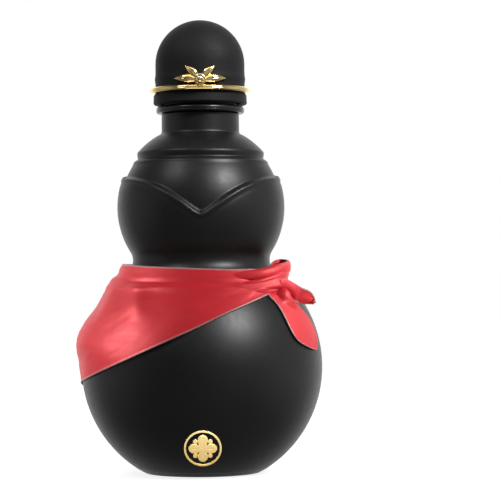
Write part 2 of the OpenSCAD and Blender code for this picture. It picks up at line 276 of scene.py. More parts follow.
def noise(tree, scale, detail=3.0, rough=0.5, vector=None, stretch=None):
    if vector is None:
        vector = node(tree, "TexCoord").outputs["Object"]
    if stretch is not None:
        mp = node(tree, "Mapping")
        mp.inputs["Scale"].default_value = stretch
        tree.links.new(vector, mp.inputs["Vector"])
        vector = mp.outputs["Vector"]
    n = node(tree, "TexNoise", in_Scale=scale, in_Detail=detail, in_Roughness=rough)
    tree.links.new(vector, n.inputs["Vector"])
    return n.outputs["Fac"]


def ranged(tree, value, lo, hi, frm=(0.3, 0.7)):
    r = node(tree, "MapRange")
    r.inputs["From Min"].default_value, r.inputs["From Max"].default_value = frm
    r.inputs["To Min"].default_value, r.inputs["To Max"].default_value = lo, hi
    tree.links.new(value, r.inputs["Value"])
    return r.outputs["Result"]


def mixed(tree, fac, a, b):
    x = node(tree, "Mix", data_type="RGBA")
    for socket, c in ((x.inputs[6], a), (x.inputs[7], b)):
        if isinstance(c, tuple):
            socket.default_value = (*c, 1)
        else:
            tree.links.new(c, socket)
    if isinstance(fac, float):
        x.inputs[0].default_value = fac
    else:
        tree.links.new(fac, x.inputs[0])
    return x.outputs[2]


def math_node(tree, op, a, b=None, c=None, clamp=False):
    m = node(tree, "Math", operation=op, use_clamp=clamp)
    for i, v in enumerate((a, b, c)):
        if v is None:
            continue
        if isinstance(v, (int, float)):
            m.inputs[i].default_value = v
        else:
            tree.links.new(v, m.inputs[i])
    return m.outputs[0]


def bumped(tree, bsdf, height, strength, distance, under=None):
    b = node(tree, "Bump", in_Strength=strength, in_Distance=distance)
    tree.links.new(height, b.inputs["Height"])
    if under is not None:
        tree.links.new(under, b.inputs["Normal"])
    tree.links.new(b.outputs["Normal"], bsdf.inputs["Normal"])
    return b.outputs["Normal"]


def powder_coat():
    """Satin black powder coat: fine even texture, a little cloudiness."""
    m, t, b = shader("body_paint", Roughness=0.42, IOR=1.45)
    cloud = noise(t, 45, 2)
    t.links.new(mixed(t, ranged(t, cloud, 0.0, 1.0), (0.0038, 0.0039, 0.0041), (0.0056, 0.0057, 0.0059)), b.inputs["Base Color"])
    t.links.new(ranged(t, noise(t, 380, 3), 0.40, 0.45), b.inputs["Roughness"])
    grain = noise(t, 2600, 2)
    bumped(t, b, grain, 0.10, 0.00012)
    return m


def soft_touch():
    """Soft-touch plastic of the cap: matte, with a faint lint-like grain."""
    m, t, b = shader("cap_soft", IOR=1.34, Sheen_Weight=0.02, Sheen_Roughness=0.55)
    t.links.new(mixed(t, ranged(t, noise(t, 60, 3), 0.0, 1.0), (0.0048, 0.0049, 0.0055), (0.0070, 0.0071, 0.0078)), b.inputs["Base Color"])
    t.links.new(ranged(t, noise(t, 500, 3), 0.60, 0.68), b.inputs["Roughness"])
    bumped(t, b, noise(t, 3400, 2), 0.14, 0.0001)
    return m


def gloss_plastic():
    """Moulded collar: semi-gloss, with faint turning lines."""
    m, t, b = shader("collar_plastic", IOR=1.5)
    t.links.new(mixed(t, ranged(t, noise(t, 80, 2), 0.0, 1.0), (0.0045, 0.0046, 0.0050), (0.0065, 0.0066, 0.0070)), b.inputs["Base Color"])
    t.links.new(ranged(t, noise(t, 900, 2), 0.27, 0.33), b.inputs["Roughness"])
    lines = noise(t, 1.0, 2, stretch=(40, 40, 5200))
    bumped(t, b, lines, 0.05, 0.00008)
    return m


def polished_gold():
    """Polished plated gold with soft casting waviness and hairline scuffs."""
    m, t, b = shader("gold", Metallic=1.0)
    tint = noise(t, 140, 2)
    t.links.new(mixed(t, ranged(t, tint, 0.0, 1.0), (0.90, 0.66, 0.27), (0.95, 0.74, 0.36)), b.inputs["Base Color"])
    t.links.new(ranged(t, noise(t, 1500, 4), 0.09, 0.15), b.inputs["Roughness"])
    bumped(t, b, noise(t, 330, 2), 0.10, 0.00016)
    return m


def gold_leaf():
    """Gold foil of the emblem: finely mottled, less polished than the hoop, with painted shade that turns it darker
    and deeper orange towards the bottom.
    """
    m, t, b = shader("gold_mark", Metallic=0.40)
    sep = node(t, "SeparateXYZ")
    t.links.new(node(t, "TexCoord").outputs["Object"], sep.inputs[0])
    # painted shade: the colour runs from pale gold at the top to darker orange at the bottom, as the light falls
    fade = ranged(t, sep.outputs["Z"], 1.0, 0.0, frm=(0.0065, 0.0225))
    base = mixed(t, fade, (0.98, 0.74, 0.30), (0.92, 0.55, 0.11))
    t.links.new(mixed(t, ranged(t, noise(t, 900, 4), 0.0, 0.6), base, (1.00, 0.82, 0.42)), b.inputs["Base Color"])
    t.links.new(ranged(t, noise(t, 1300, 3), 0.34, 0.46), b.inputs["Roughness"])
    bumped(t, b, noise(t, 1700, 4), 0.22, 0.00012)
    return m


def brushed_steel(name, base, rough):
    m, t, b = shader(name, Metallic=1.0, Anisotropic=0.35)
    streak = noise(t, 1.0, 3, stretch=(60, 60, 4200))
    t.links.new(mixed(t, ranged(t, streak, 0.0, 1.0), tuple(c * 0.88 for c in base), base), b.inputs["Base Color"])
    t.links.new(ranged(t, streak, rough - 0.04, rough + 0.06), b.inputs["Roughness"])
    bumped(t, b, streak, 0.12, 0.00005)
    return m


def moulded(name, base, rough, grain=900, depth=0.00006, **extra):
    m, t, b = shader(name, **extra)
    t.links.new(mixed(t, ranged(t, noise(t, 70, 3), 0.0, 1.0), tuple(c * 0.90 for c in base), base), b.inputs["Base Color"])
    t.links.new(ranged(t, noise(t, 420, 3), rough - 0.04, rough + 0.05), b.inputs["Roughness"])
    bumped(t, b, noise(t, grain, 3), 0.25, depth)
    return m


def foam_material():
    m, t, b = shader("foam", Roughness=0.95)
    cells = node(t, "TexVoronoi", in_Scale=900.0)
    t.links.new(node(t, "TexCoord").outputs["Object"], cells.inputs["Vector"])
    t.links.new(mixed(t, ranged(t, cells.outputs["Distance"], 0.0, 1.0, (0.0, 0.7)), (0.86, 0.86, 0.83), (0.74, 0.74, 0.70)), b.inputs["Base Color"])
    bumped(t, b, cells.outputs["Distance"], 0.5, 0.0003)
    return m


def satin_cloth():
    """Red satin: woven threads, long soft slubs, and a painted highlight that turns the hem a paler pink-grey where
    the attribute that holds the distance to the cut edge is small."""
    m, t, b = shader("satin_cloth", IOR=1.48, Metallic=0.20, Sheen_Weight=0.05, Sheen_Roughness=0.35)
    b.inputs["Sheen Tint"].default_value = (1.0, 0.35, 0.35, 1)
    uv = node(t, "UVMap", uv_map="cloth").outputs["UV"]
    edge = node(t, "Attribute", attribute_name="edge", attribute_type="GEOMETRY").outputs["Fac"]
    # colour: broad mottling and fine thread variation
    broad = noise(t, 55, 3, vector=uv)
    slub = noise(t, 1.0, 3, vector=uv, stretch=(90, 900, 1))
    red = mixed(t, ranged(t, broad, 0.0, 1.0), (0.56, 0.016, 0.024), (0.63, 0.020, 0.030))
    red = mixed(t, ranged(t, slub, 0.0, 0.22), red, (0.70, 0.036, 0.046))
    # painted highlight: the rolled hem is coloured a paler pink-grey, as if it caught the light
    hem = ranged(t, edge, 1.0, 0.0, frm=(0.45, 0.90))
    painted_hem_highlight = mixed(t, ranged(t, noise(t, 1600, 2, vector=uv), 0.0, 1.0), (0.36, 0.17, 0.17), (0.47, 0.26, 0.25))
    t.links.new(mixed(t, hem, red, painted_hem_highlight), b.inputs["Base Color"])
    t.links.new(ranged(t, slub, 0.43, 0.50), b.inputs["Roughness"])
    # weave: warp floats over four, so the lines one way are finer
    def wave(scale, direction):
        w = node(t, "TexWave", wave_type="BANDS", bands_direction=direction, in_Scale=scale, in_Distortion=0.6, in_Detail=1.0)
        w.inputs["Detail Scale"].default_value = 1.5
        t.links.new(uv, w.inputs["Vector"])
        return w.outputs["Fac"]
    weave = math_node(t, "ADD", math_node(t, "MULTIPLY", wave(1450, "Y"), 0.7), math_node(t, "MULTIPLY", wave(640, "X"), 0.3))
    first = bumped(t, b, weave, 0.20, 0.00005)
    bumped(t, b, slub, 0.05, 0.0003, under=first)
    return m


MAT = {
    "body_paint": powder_coat(),
    "cap_soft": soft_touch(),
    "collar_plastic": gloss_plastic(),
    "gold": polished_gold(),
    "gold_mark": gold_leaf(),
    "steel": brushed_steel("steel", (0.62, 0.62, 0.63), 0.27),
    "seal_metal": brushed_steel("seal_metal", (0.50, 0.51, 0.53), 0.42),
    "foot_rubber": moulded("foot_rubber", (0.022, 0.022, 0.024), 0.82, 1500, 0.0001),
    "inner_plastic": moulded("inner_plastic", (0.72, 0.72, 0.70), 0.42),
    "silicone": moulded("silicone", (0.58, 0.60, 0.62), 0.50, 700, 0.00004, Subsurface_Weight=0.15, Subsurface_Scale=0.002),
    "foam": foam_material(),
    "satin_cloth": satin_cloth(),
}
SLOT_OF = {s["node"]: s["material_slot"] for s in frame["record"]["subparts"]}
for name, ob in NODES.items():
    ob.data.materials.clear()
    ob.data.materials.append(MAT[SLOT_OF[name]])


def place(ob, slot, body, *nodes):
    ob.data.materials.clear()
    ob.data.materials.append(MAT[slot])
    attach(ob, body)
    if nodes:
        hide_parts(*nodes)
    return ob


# ---------------------------------------------------------------- lower shell
def lower_shell():
    a0 = math.degrees(math.asin((2.0 - LOWER_Z) / LOWER_R))
    a1 = math.degrees(math.asin((SEAM_Z - LOWER_Z) / LOWER_R))
    ri = LOWER_R - SHELL_T
    b0 = math.degrees(math.asin((2.05 - LOWER_Z) / ri))
    b1 = math.degrees(math.asin((SEAM_Z - LOWER_Z) / ri))
    return arc(0, LOWER_Z, LOWER_R, a0, a1, 96) + arc(0, LOWER_Z, ri, b1, b0, 36)


place(lathe("outer_shell_lower", lower_shell(), 288), "body_paint", "bottle", "lower_shell")


# ---------------------------------------------------------------- upper shell
def vee_z(x):
    """Height of the neckline above a point x to the side of the front."""
    soft = np.sqrt(np.asarray(x, float) ** 2 + 1.7**2) - 1.45
    a = np.degrees(np.arcsin(np.clip(soft / (UPPER_R - 1.9), 0, 1)))
    return VEE_TIP + (VEE_SIDE - VEE_TIP) * 1.004 * np.tanh(a / VEE_SPREAD)


def neckline():
    """Points along the neckline all round, and its height by angle."""
    phi = np.radians(np.linspace(-180, 180, 2401))
    z = np.full_like(phi, VEE_SIDE)
    front = np.abs(phi) <= PI / 2
    for _ in range(30):
        rho = np.sqrt(np.maximum((UPPER_R - 0.9) ** 2 - (z - UPPER_Z) ** 2, 1))
        z = np.where(front, vee_z(rho * np.sin(phi)), VEE_SIDE)
    rho = np.sqrt(np.maximum((UPPER_R - 0.9) ** 2 - (z - UPPER_Z) ** 2, 1))
    return phi, z, np.c_[rho * np.sin(phi), -rho * np.cos(phi), z]


def upper_shell():
    n = 480
    phi_n, z_n, line = neckline()
    tree = kdtree.KDTree(len(line))
    for i, p in enumerate(line):
        tree.insert(Vector(p), i)
    tree.balance()
    # meridian: points with their outward directions
    mer = []
    for a in np.linspace(math.degrees(math.asin((SEAM_Z - LOWER_Z) / LOWER_R)), math.degrees(LOW_DIR), 3)[:-1]:
        c, s = math.cos(math.radians(a)), math.sin(math.radians(a))
        mer.append((LOWER_R * c, LOWER_Z + LOWER_R * s, c, s, 0))
    for a in np.linspace(180 + math.degrees(LOW_DIR), 180 + math.degrees(UP_DIR), 17)[:-1]:
        c, s = math.cos(math.radians(a)), math.sin(math.radians(a))
        mer.append((WAIST_C + WAIST_ROUND * c, WAIST_Z + WAIST_ROUND * s, -c, -s, 0))
    up0 = math.degrees(UP_DIR)
    angles = list(np.linspace(up0, -13, 9)[:-1]) + list(np.linspace(-13, 42, 110)[:-1]) + list(np.linspace(42, 58.2, 16))
    for a in angles:
        c, s = math.cos(math.radians(a)), math.sin(math.radians(a))
        mer.append((UPPER_R * c, UPPER_Z + UPPER_R * s, c, s, 1))
    # shoulder flows into the neck, then the top steps in under the collar
    tail = fillet([(UPPER_R * math.cos(math.radians(58.2)), UPPER_Z + UPPER_R * math.sin(math.radians(58.2))),
                   (17.85, 155.75, 1.5), (17.8, 164.6, 0.3), (16.5, 165.0, 0.2), (SPIGOT_R, 165.4, 0.2), (SPIGOT_R, 185.4)], 8, closed=False)
    tail = subdivide(tail, 1.4, closed=False)[1:]
    rows = []
    phis = np.radians(-180 + 360 * np.arange(n) / n)
    zc = np.interp(np.degrees(phis), np.degrees(phi_n), z_n)
    for r, z, cr, cz, on in mer:
        d = np.zeros(n)
        if on and 112 < z < 150:
            pr, pz = r - 0.9 * cr, z - 0.9 * cz
            for k, p in enumerate(phis):
                _, _, dist = tree.find(Vector((pr * math.sin(p), -pr * math.cos(p), pz)))
                d[k] = math.copysign(dist, pz - zc[k])
            step = ease((d + 0.95) / 2.3)
            top = 1 - ease((z - 144.9) / 2.5)
            disp = -RELIEF * step * top
            disp = disp + step * (0.34 * bump_at(z, 143.3, 0.85) - 0.34 * bump_at(z, 145.2, 0.7))
            # rolled edge: a welt with a faint hollow below it
            disp = disp + (0.30 * bump_at(d, -1.30, 0.80) - 0.10 * bump_at(d, -2.9, 0.9)) * top
        else:
            disp = np.zeros(n)
        rr, zz = r + disp * cr, z + disp * cz
        rows.append(np.c_[rr * np.sin(phis), -rr * np.cos(phis), zz])
    for r, z in tail:
        rows.append(np.c_[r * np.sin(phis), -r * np.cos(phis), np.full(n, z)])
    inner = fillet([(15.6, 185.4), (15.6, 166, 0.6), (17.1, 164.2, 0.6), (17.15, 155.9, 1.5)], 4, closed=False)
    inner += [(r, z) for r, z in arc(0, UPPER_Z, UPPER_R - 2.4, 57, up0 + 4, 22)]
    inner += [(r, z) for r, z in arc(WAIST_C, WAIST_Z, WAIST_ROUND + 0.8, 180 + up0, 180 + math.degrees(LOW_DIR) - 4, 8)]
    inner.append((math.sqrt((LOWER_R - SHELL_T) ** 2 - (SEAM_Z - LOWER_Z) ** 2), SEAM_Z))
    for r, z in inner:
        rows.append(np.c_[r * np.sin(phis), -r * np.cos(phis), np.full(n, z)])
    verts = np.concatenate(rows)
    faces = []
    m = len(rows)
    for i in range(m):
        j = (i + 1) % m
        for k in range(n):
            l = (k + 1) % n
            faces.append((i * n + k, i * n + l, j * n + l, j * n + k))
    return verts, faces


place(build("outer_shell_upper", *upper_shell()), "body_paint", "bottle", "upper_shell")

# ----------------------------------------------------------------------- foot
foot = subdivide(fillet([
    (0, 2.4), (22.8, 2.4, 0.15), (22.8, 0.4, 0.25), (26.3, 0.4, 0.7), (29.24, 2.0, 0.1),
    (28.4, 2.0, 0.1), (26.4, 1.05, 0.4), (23.4, 1.05, 0.3), (23.4, 3.0, 0.3), (0, 3.0)], 5), 2.2)
place(lathe("foot_dish", foot, 240), "body_paint", "bottle", "base_cup")
pad = subdivide(fillet([
    (0, 0.02), (11.4, 0.02, 0.1), (11.4, 0.3, 0.1), (12.6, 0.3, 0.1), (12.6, 0.02, 0.1), (16.4, 0.02, 0.1), (16.4, 0.3, 0.1),
    (17.6, 0.3, 0.1), (17.6, 0.02, 0.1), (22.3, 0.02, 0.45), (22.5, 2.36, 0.1), (5, 2.36, 0.1), (5, 1.2, 0.1), (0, 1.2)], 4), 2.2)
place(lathe("foot_pad", pad, 192), "foot_rubber", "bottle", "base_pad")


# ------------------------------------------------------------ collar and neck
def rib(r_foot, r_crest, w_foot, w_crest, z0, az0, lead=12.0, span=130.0, n=84):
    """One helical thread rib with a rounded crest."""
    verts, faces = [], []
    out = r_crest > r_foot
    prof = [(-0.5, 0.0), (-0.42, 0.30), (-0.30, 0.70), (-0.18, 0.94), (0, 1.0), (0.18, 0.94), (0.30, 0.70), (0.42, 0.30), (0.5, 0.0)]
    m = len(prof)
    for i in range(n + 1):
        a = math.radians(az0 + span * i / n)
        z = z0 + lead * span / 360 * i / n
        t = min(1.0, 0.08 + min(i, n - i) / 9)
        t = t * t * (3 - 2 * t)
        for s, h in prof:
            r = r_foot + (r_crest - r_foot) * h * t
            verts.append((r * math.cos(a), r * math.sin(a), z + s * w_foot))
    for i in range(n):
        for j in range(m):
            k = (j + 1) % m
            q = (i * m + j, (i + 1) * m + j, (i + 1) * m + k, i * m + k)
            faces.append(q if out else q[::-1])
    a, b = list(range(m)), list(range(n * m, n * m + m))
    faces.append(tuple(a if out else a[::-1]))
    faces.append(tuple(b[::-1] if out else b))
    return verts, faces


collar = subdivide(fillet([
    (SPIGOT_R, 165.0), (19.75, 165.0, 0.55), (20.2, 165.6, 0.5), (20.2, 166.0, 0.12), (20.0, 166.12, 0.06), (20.2, 166.28, 0.14),
    (20.25, 167.1, 0.9), (19.6, 168.0, 0.5), (17.25, 168.15, 0.3), (17.0, 168.6, 0.3), (17.0, 184.0, 0.3), (16.8, 184.4, 0.15),
    (SPIGOT_R, 184.4)], 6), 1.6)
ribs = [rib(16.8, 17.75, 2.0, 0.9, 173.2, i * 120) for i in range(3)]
v, f = merged(lathe_mesh(collar, 216), *ribs)
place(build("threaded_collar", v, f, weighted=True), "collar_plastic", "bottle", "neck_collar")

# inner bottle: upper half with the rolled mouth, seen when the cap is off
inset = SHELL_T + 4.0


def liner(d, z0):
    pts = [(math.sqrt((LOWER_R - d) ** 2 - (z0 - LOWER_Z) ** 2), z0)]
    pts += arc(WAIST_C, WAIST_Z, WAIST_ROUND + d, 180 + math.degrees(LOW_DIR) - 6, 180 + math.degrees(UP_DIR), 14)
    return pts


top_z = lambda r, d: UPPER_Z + math.sqrt((UPPER_R - d) ** 2 - (r + 1) ** 2)
ro, ri = 15.0, 14.5
outer = liner(inset, 87.5) + arc(0, UPPER_Z, UPPER_R - inset, math.degrees(UP_DIR) + 3, math.degrees(math.acos((ro + 1) / (UPPER_R - inset))), 40)
outer += fillet([(ro + 0.9, top_z(ro, inset) + 0.2), (ro, top_z(ro, inset) + 1.4, 1.0), (ro, 185.4, 0.15), (SPIGOT_R - 0.1, 185.4, 0.1), (SPIGOT_R, 185.9, 0.2), (ri + 0.25, 186.0, 0.3), (ri, 185.5, 0.3), (ri, top_z(ri, inset + 0.5) + 1.4, 1.0), (ri + 0.9, top_z(ri, inset + 0.5) + 0.2)], 6, closed=False)
inner = liner(inset + 0.5, 87.5) + arc(0, UPPER_Z, UPPER_R - inset - 0.5, math.degrees(UP_DIR) + 3, math.degrees(math.acos((ri + 1) / (UPPER_R - inset - 0.5))), 40)
place(lathe("inner_bottle_upper", outer + inner[::-1], 192), "steel", "bottle", "liner_upper")

# ------------------------------------------------------------------------ cap
dome = [(18.9, 174.05), (20.1, 174.05), (20.38, 174.15), (20.5, 174.45)]
dome += [(20.5 + 0.3 * math.exp(-(((z - 180.6) / 1.6) ** 2)), z) for z in np.linspace(175.0, 186.6, 34)]
dome += arc(0, 187.5, 20.5, 0, 88.5, 60) + [(0, 208.0), (0, 206.4)] + arc(0, 187.5, 18.9, 88, 0, 40)
dome += [(18.9, z) for z in np.linspace(186, 175, 9)]
place(lathe("cap_dome_soft", dome, 240), "cap_soft", "cap", "cap_dome")

flange = subdivide(fillet([
    (18.0, 169.3, 0.2), (18.35, 169.0, 0.2), (21.0, 169.0, 0.5), (21.5, 169.6, 0.5), (21.35, 173.2, 0.6), (20.7, 174.0, 0.5),
    (18.9, 174.0, 0.1), (18.9, 187.5, 0.3), (18.3, 190.9, 0.4), (2.45, 190.9, 0.2), (2.45, 189.1, 0.2), (18.0, 189.1, 0.6)], 6), 2.0)
ribs = [rib(18.2, 17.25, 2.0, 0.9, 171.5, i * 120) for i in range(3)]
v, f = merged(lathe_mesh(flange, 216), *ribs)
place(build("cap_insert_threaded", v, f, weighted=True), "cap_soft", "cap", "cap_insert")


# ----------------------------------------------------------------------- hoop
def tube_mesh(path, radius, n=20, closed=False, flat=None):
    """Round tube along a path. radius is a number or one per point."""
    p = np.asarray(path, float)
    m = len(p)
    rad = np.full(m, float(radius)) if np.isscalar(radius) else np.asarray(radius, float)
    if closed:
        tan = np.roll(p, -1, 0) - np.roll(p, 1, 0)
    else:
        tan = np.gradient(p, axis=0)
    tan /= np.linalg.norm(tan, axis=1)[:, None]
    ref = np.array([0, 0, 1.0]) if abs(tan[0][2]) < 0.9 else np.array([1.0, 0, 0])
    nrm = np.zeros_like(p)
    nrm[0] = np.cross(tan[0], ref)
    nrm[0] /= np.linalg.norm(nrm[0])
    for i in range(1, m):
        q = nrm[i - 1] - tan[i] * (nrm[i - 1] @ tan[i])
        nrm[i] = q / np.linalg.norm(q)
    bi = np.cross(tan, nrm)
    verts, faces = [], []
    for i in range(m):
        for k in range(n):
            a = 2 * PI * k / n
            verts.append(tuple(p[i] + rad[i] * (math.cos(a) * nrm[i] + math.sin(a) * bi[i])))
    for i in range(m if closed else m - 1):
        j = (i + 1) % m
        for k in range(n):
            l = (k + 1) % n
            faces.append((i * n + k, i * n + l, j * n + l, j * n + k))
    if not closed:
        faces.append(tuple(range(n))[::-1])
        faces.append(tuple(range((m - 1) * n, m * n)))
    return verts, faces


wire = []
for k in range(48):
    a = 2 * PI * k / 48
    dip = 0.20 * math.exp(-(((a if a < PI else a - 2 * PI) / 0.20) ** 2))
    wire.append((HOOP_R + (WIRE_D / 2 - dip) * math.cos(a), HOOP_Z + (WIRE_D / 2 - dip) * math.sin(a)))
place(lathe("gold_hoop", wire, 256), "gold", "hoop", "hoop_wire")


def on_cap(x, z, r):
    """A point of the sprig: x to the side, z above the hoop, r from the axis."""
    x = np.clip(x, -0.98 * r, 0.98 * r)
    return (x, -math.sqrt(r * r - x * x), HOOP_Z + z)


def leaf_mesh(x0, z0, angle, length, half, side, droop):
    """A cupped leaf with a midrib groove, cast in metal."""
    nu, nv = 40, 22
    verts = []
    ca, sa = math.cos(math.radians(angle)), math.sin(math.radians(angle))

    def at(u, v, top):
        w = half * math.sin(PI * min(1, max(0, u)) ** 0.85) ** 0.9 if 0 < u < 1 else 0.0
        w = max(w, 0.10)
        along, across = length * u, w * v
        across += droop * math.sin(PI * u) * 0.5 - droop * u * u * 0.6
        x, z = x0 + along * ca - across * sa, z0 + along * sa + across * ca
        if top:
            swell = 1.10 * max(0, 1 - v * v) ** 0.62 * (0.30 + 0.70 * math.sin(PI * min(1, u * 1.02)) ** 0.7)
            rib_h = -0.26 * math.exp(-((v / 0.16) ** 2)) * math.sin(PI * u) ** 0.6
            r = 21.85 + swell + rib_h
        else:
            r = 21.5
        return on_cap(side * x, z, r)

    for i in range(nu + 1):
        u = i / nu
        for j in range(nv + 1):
            verts.append(at(u, -math.cos(PI * j / nv), True))
    m = nv + 1
    k = len(verts)
    for i in range(nu + 1):
        u = i / nu
        for j in range(nv + 1):
            verts.append(at(u, -math.cos(PI * j / nv), False))
    faces = []
    for i in range(nu):
        for j in range(nv):
            a = i * m + j
            faces.append((a, a + m, a + m + 1, a + 1))
            b = a + k
            faces.append((b, b + 1, b + m + 1, b + m))
        a, b = i * m, i * m + k
        faces.append((a, b, b + m, a + m))
        a, b = i * m + nv, i * m + nv + k
        faces.append((a, a + m, b + m, b))
    for j in range(nv):
        a, b = j, j + k
        faces.append((a, a + 1, b + 1, b))
        a, b = nu * m + j, nu * m + j + k
        faces.append((a, b, b + 1, a + 1))
    if side < 0:
        faces = [q[::-1] for q in faces]
    return verts, faces


parts = []
for side in (1, -1):
    parts.append(leaf_mesh(1.0, 3.0, 9, 10.9, 1.95, side, 0.9))
    parts.append(leaf_mesh(0.7, 4.0, 46, 8.4, 1.75, side, 0.7))
boss = []
for i in range(11):
    t = i / 10
    boss.append((2.75 * math.sin(PI / 2 * t), 22.35 + 0.9 * math.cos(PI / 2 * t) ** 0.8 - 0.45 * bump_at(t, 0, 0.5)))


def disc_on_cap(profile, x0, z0, n=48):
    """A small turned dish whose axis points out of the cap at (x0, z0)."""
    verts = [on_cap(x0, z0, profile[0][1])]
    for q, r in profile[1:]:
        for k in range(n):
            a = 2 * PI * k / n
            verts.append(on_cap(x0 + q * math.cos(a), z0 + q * math.sin(a), r))
    last = profile[-1][0]
    for k in range(n):
        a = 2 * PI * k / n
        verts.append(on_cap(x0 + last * math.cos(a), z0 + last * math.sin(a), 21.5))
    verts.append(on_cap(x0, z0, 21.5))
    faces = []
    m = len(profile)
    for k in range(n):
        l = (k + 1) % n
        faces.append((0, 1 + k, 1 + l))
        for i in range(m - 1):
            a = 1 + i * n
            faces.append((a + k, a + n + k, a + n + l, a + l))
        a = 1 + (m - 1) * n
        faces.append((a + k, len(verts) - 1, a + l))
    return verts, faces


parts.append(disc_on_cap(boss, 0, 3.4))
v, f = merged(*parts)
place(build("leaf_sprig", v, f), "gold", "hoop", "hoop_leaves")

# bead: a ball in a beaded collar
ball = lathe_mesh(arc(0, 0, 2.12, -90, 90, 36)[::1], 64, closed=False)
seat = lathe_mesh([(1.55 + 0.42 * math.cos(a), -1.35 + 0.42 * math.sin(a)) for a in np.linspace(0, 2 * PI, 17)[:-1]], 64)
v, f = merged(ball, seat)
v = [(x, -(HOOP_R + 2.1) - z, HOOP_Z + 3.4 + y) for x, y, z in v]
place(build("sprig_bead", v, f), "gold", "hoop", "hoop_bead")


# --------------------------------------------------------------------- emblem
def emblem_mesh():
    zc = 14.6

    def at(x, z, h):
        p = np.array([x, -math.sqrt(max(LOWER_R**2 - x * x - (z + zc - LOWER_Z) ** 2, 0)), z + zc - LOWER_Z])
        p = p / np.linalg.norm(p) * (LOWER_R + h)
        return (p[0], p[1], p[2] + LOWER_Z)

    def patch(inner, outer, n, cx=0, cz=0, steps=12, groove=None, high=0.30):
        """A raised shape between two polar outlines, with rounded rims."""
        verts, faces = [], []
        ts = [0, 0.0, 0.03, 0.09, 0.2] + list(np.linspace(0.3, 0.7, steps - 8)) + [0.8, 0.91, 0.97, 1.0, 1.0] if inner else list(np.linspace(0, 0.8, steps - 4)) + [0.88, 0.94, 0.98, 1.0, 1.0]
        hs = []
        for i, t in enumerate(ts):
            rim = min(t, 1 - t) if inner else 1 - t
            h = high * min(1, math.sqrt(max(0, 1 - (1 - min(1, rim / 0.12)) ** 2))) + 0.02
            if i == len(ts) - 1 or (inner and i == 0):
                h = -0.15
            hs.append(h)
        for i, t in enumerate(ts):
            for k in range(n):
                a = 2 * PI * k / n
                r0 = inner(a) if inner else 0.0
                r = r0 + (outer(a) - r0) * t
                h = hs[i]
                if groove and h > 0:
                    h = h + groove(a, r)
                verts.append(at(cx + r * math.cos(a), cz + r * math.sin(a), h))
        for i in range(len(ts) - 1):
            for k in range(n):
                l = (k + 1) % n
                faces.append((i * n + k, (i + 1) * n + k, (i + 1) * n + l, i * n + l))
        if not inner:
            faces.append(tuple(range(n)))
        return verts, faces

    petal = lambda a: 1.1 + 5.2 * abs(math.cos(2 * a)) ** 0.6
    vein = lambda a, r: -0.13 * math.exp(-((r * math.sin(2 * a) / 2 / 0.28) ** 2)) * (1 if 1.6 < r < 5.0 else 0.0)
    out = [patch(lambda a: 7.4, lambda a: 8.3, 144, steps=14),
           patch(None, petal, 192, steps=20, groove=vein)]
    for i in range(4):
        a = math.radians(45 + 90 * i)
        out.append(patch(None, lambda a: 1.05, 36, 4.6 * math.cos(a), 4.6 * math.sin(a), steps=9))
    return merged(*out)


v, f = emblem_mesh()
place(build("gold_emblem", v, f), "gold_mark", "bottle", "emblem")


# ------------------------------------------------------------------- kerchief
def polar(az, z, r):
    a = np.radians(az)
    return np.stack([r * np.cos(a), r * np.sin(a), z], axis=-1)


def smooth_noise(shape, cells, seed):
    """Seeded smooth noise in -1..1 on a grid, by cubic blending of cells."""
    rng = np.random.default_rng(seed)
    g = rng.uniform(-1, 1, (cells[0] + 3, cells[1] + 3))
    u = np.linspace(0, cells[0], shape[0])
    v = np.linspace(0, cells[1], shape[1])
    def basis(x):
        k = np.clip(x.astype(int), 0, None)
        t = x - k
        w = np.stack([(1 - t) ** 3, 3 * t**3 - 6 * t**2 + 4, -3 * t**3 + 3 * t**2 + 3 * t + 1, t**3], -1) / 6
        return k, w
    ku, wu = basis(u)
    kv, wv = basis(v)
    out = np.zeros(shape)
    for a in range(4):
        for b in range(4):
            rows = np.minimum(ku + a, g.shape[0] - 1)
            cols = np.minimum(kv + b, g.shape[1] - 1)
            out += wu[:, a][:, None] * wv[:, b][None, :] * g[rows][:, cols]
    return out * 1.6


def edge_distance(P, free):
    """Distance over the cloth from each point to the nearest free edge."""
    du = np.linalg.norm(np.diff(P, axis=0), axis=2)
    dv = np.linalg.norm(np.diff(P, axis=1), axis=2)
    su = np.concatenate([np.zeros((1, P.shape[1])), np.cumsum(du, 0)])
    sv = np.concatenate([np.zeros((P.shape[0], 1)), np.cumsum(dv, 1)], 1)
    d = np.full(P.shape[:2], 99.0)
    if free[0]:
        d = np.minimum(d, su)
    if free[1]:
        d = np.minimum(d, su[-1:] - su)
    if free[2]:
        d = np.minimum(d, sv)
    if free[3]:
        d = np.minimum(d, sv[:, -1:] - sv)
    return d, su, sv


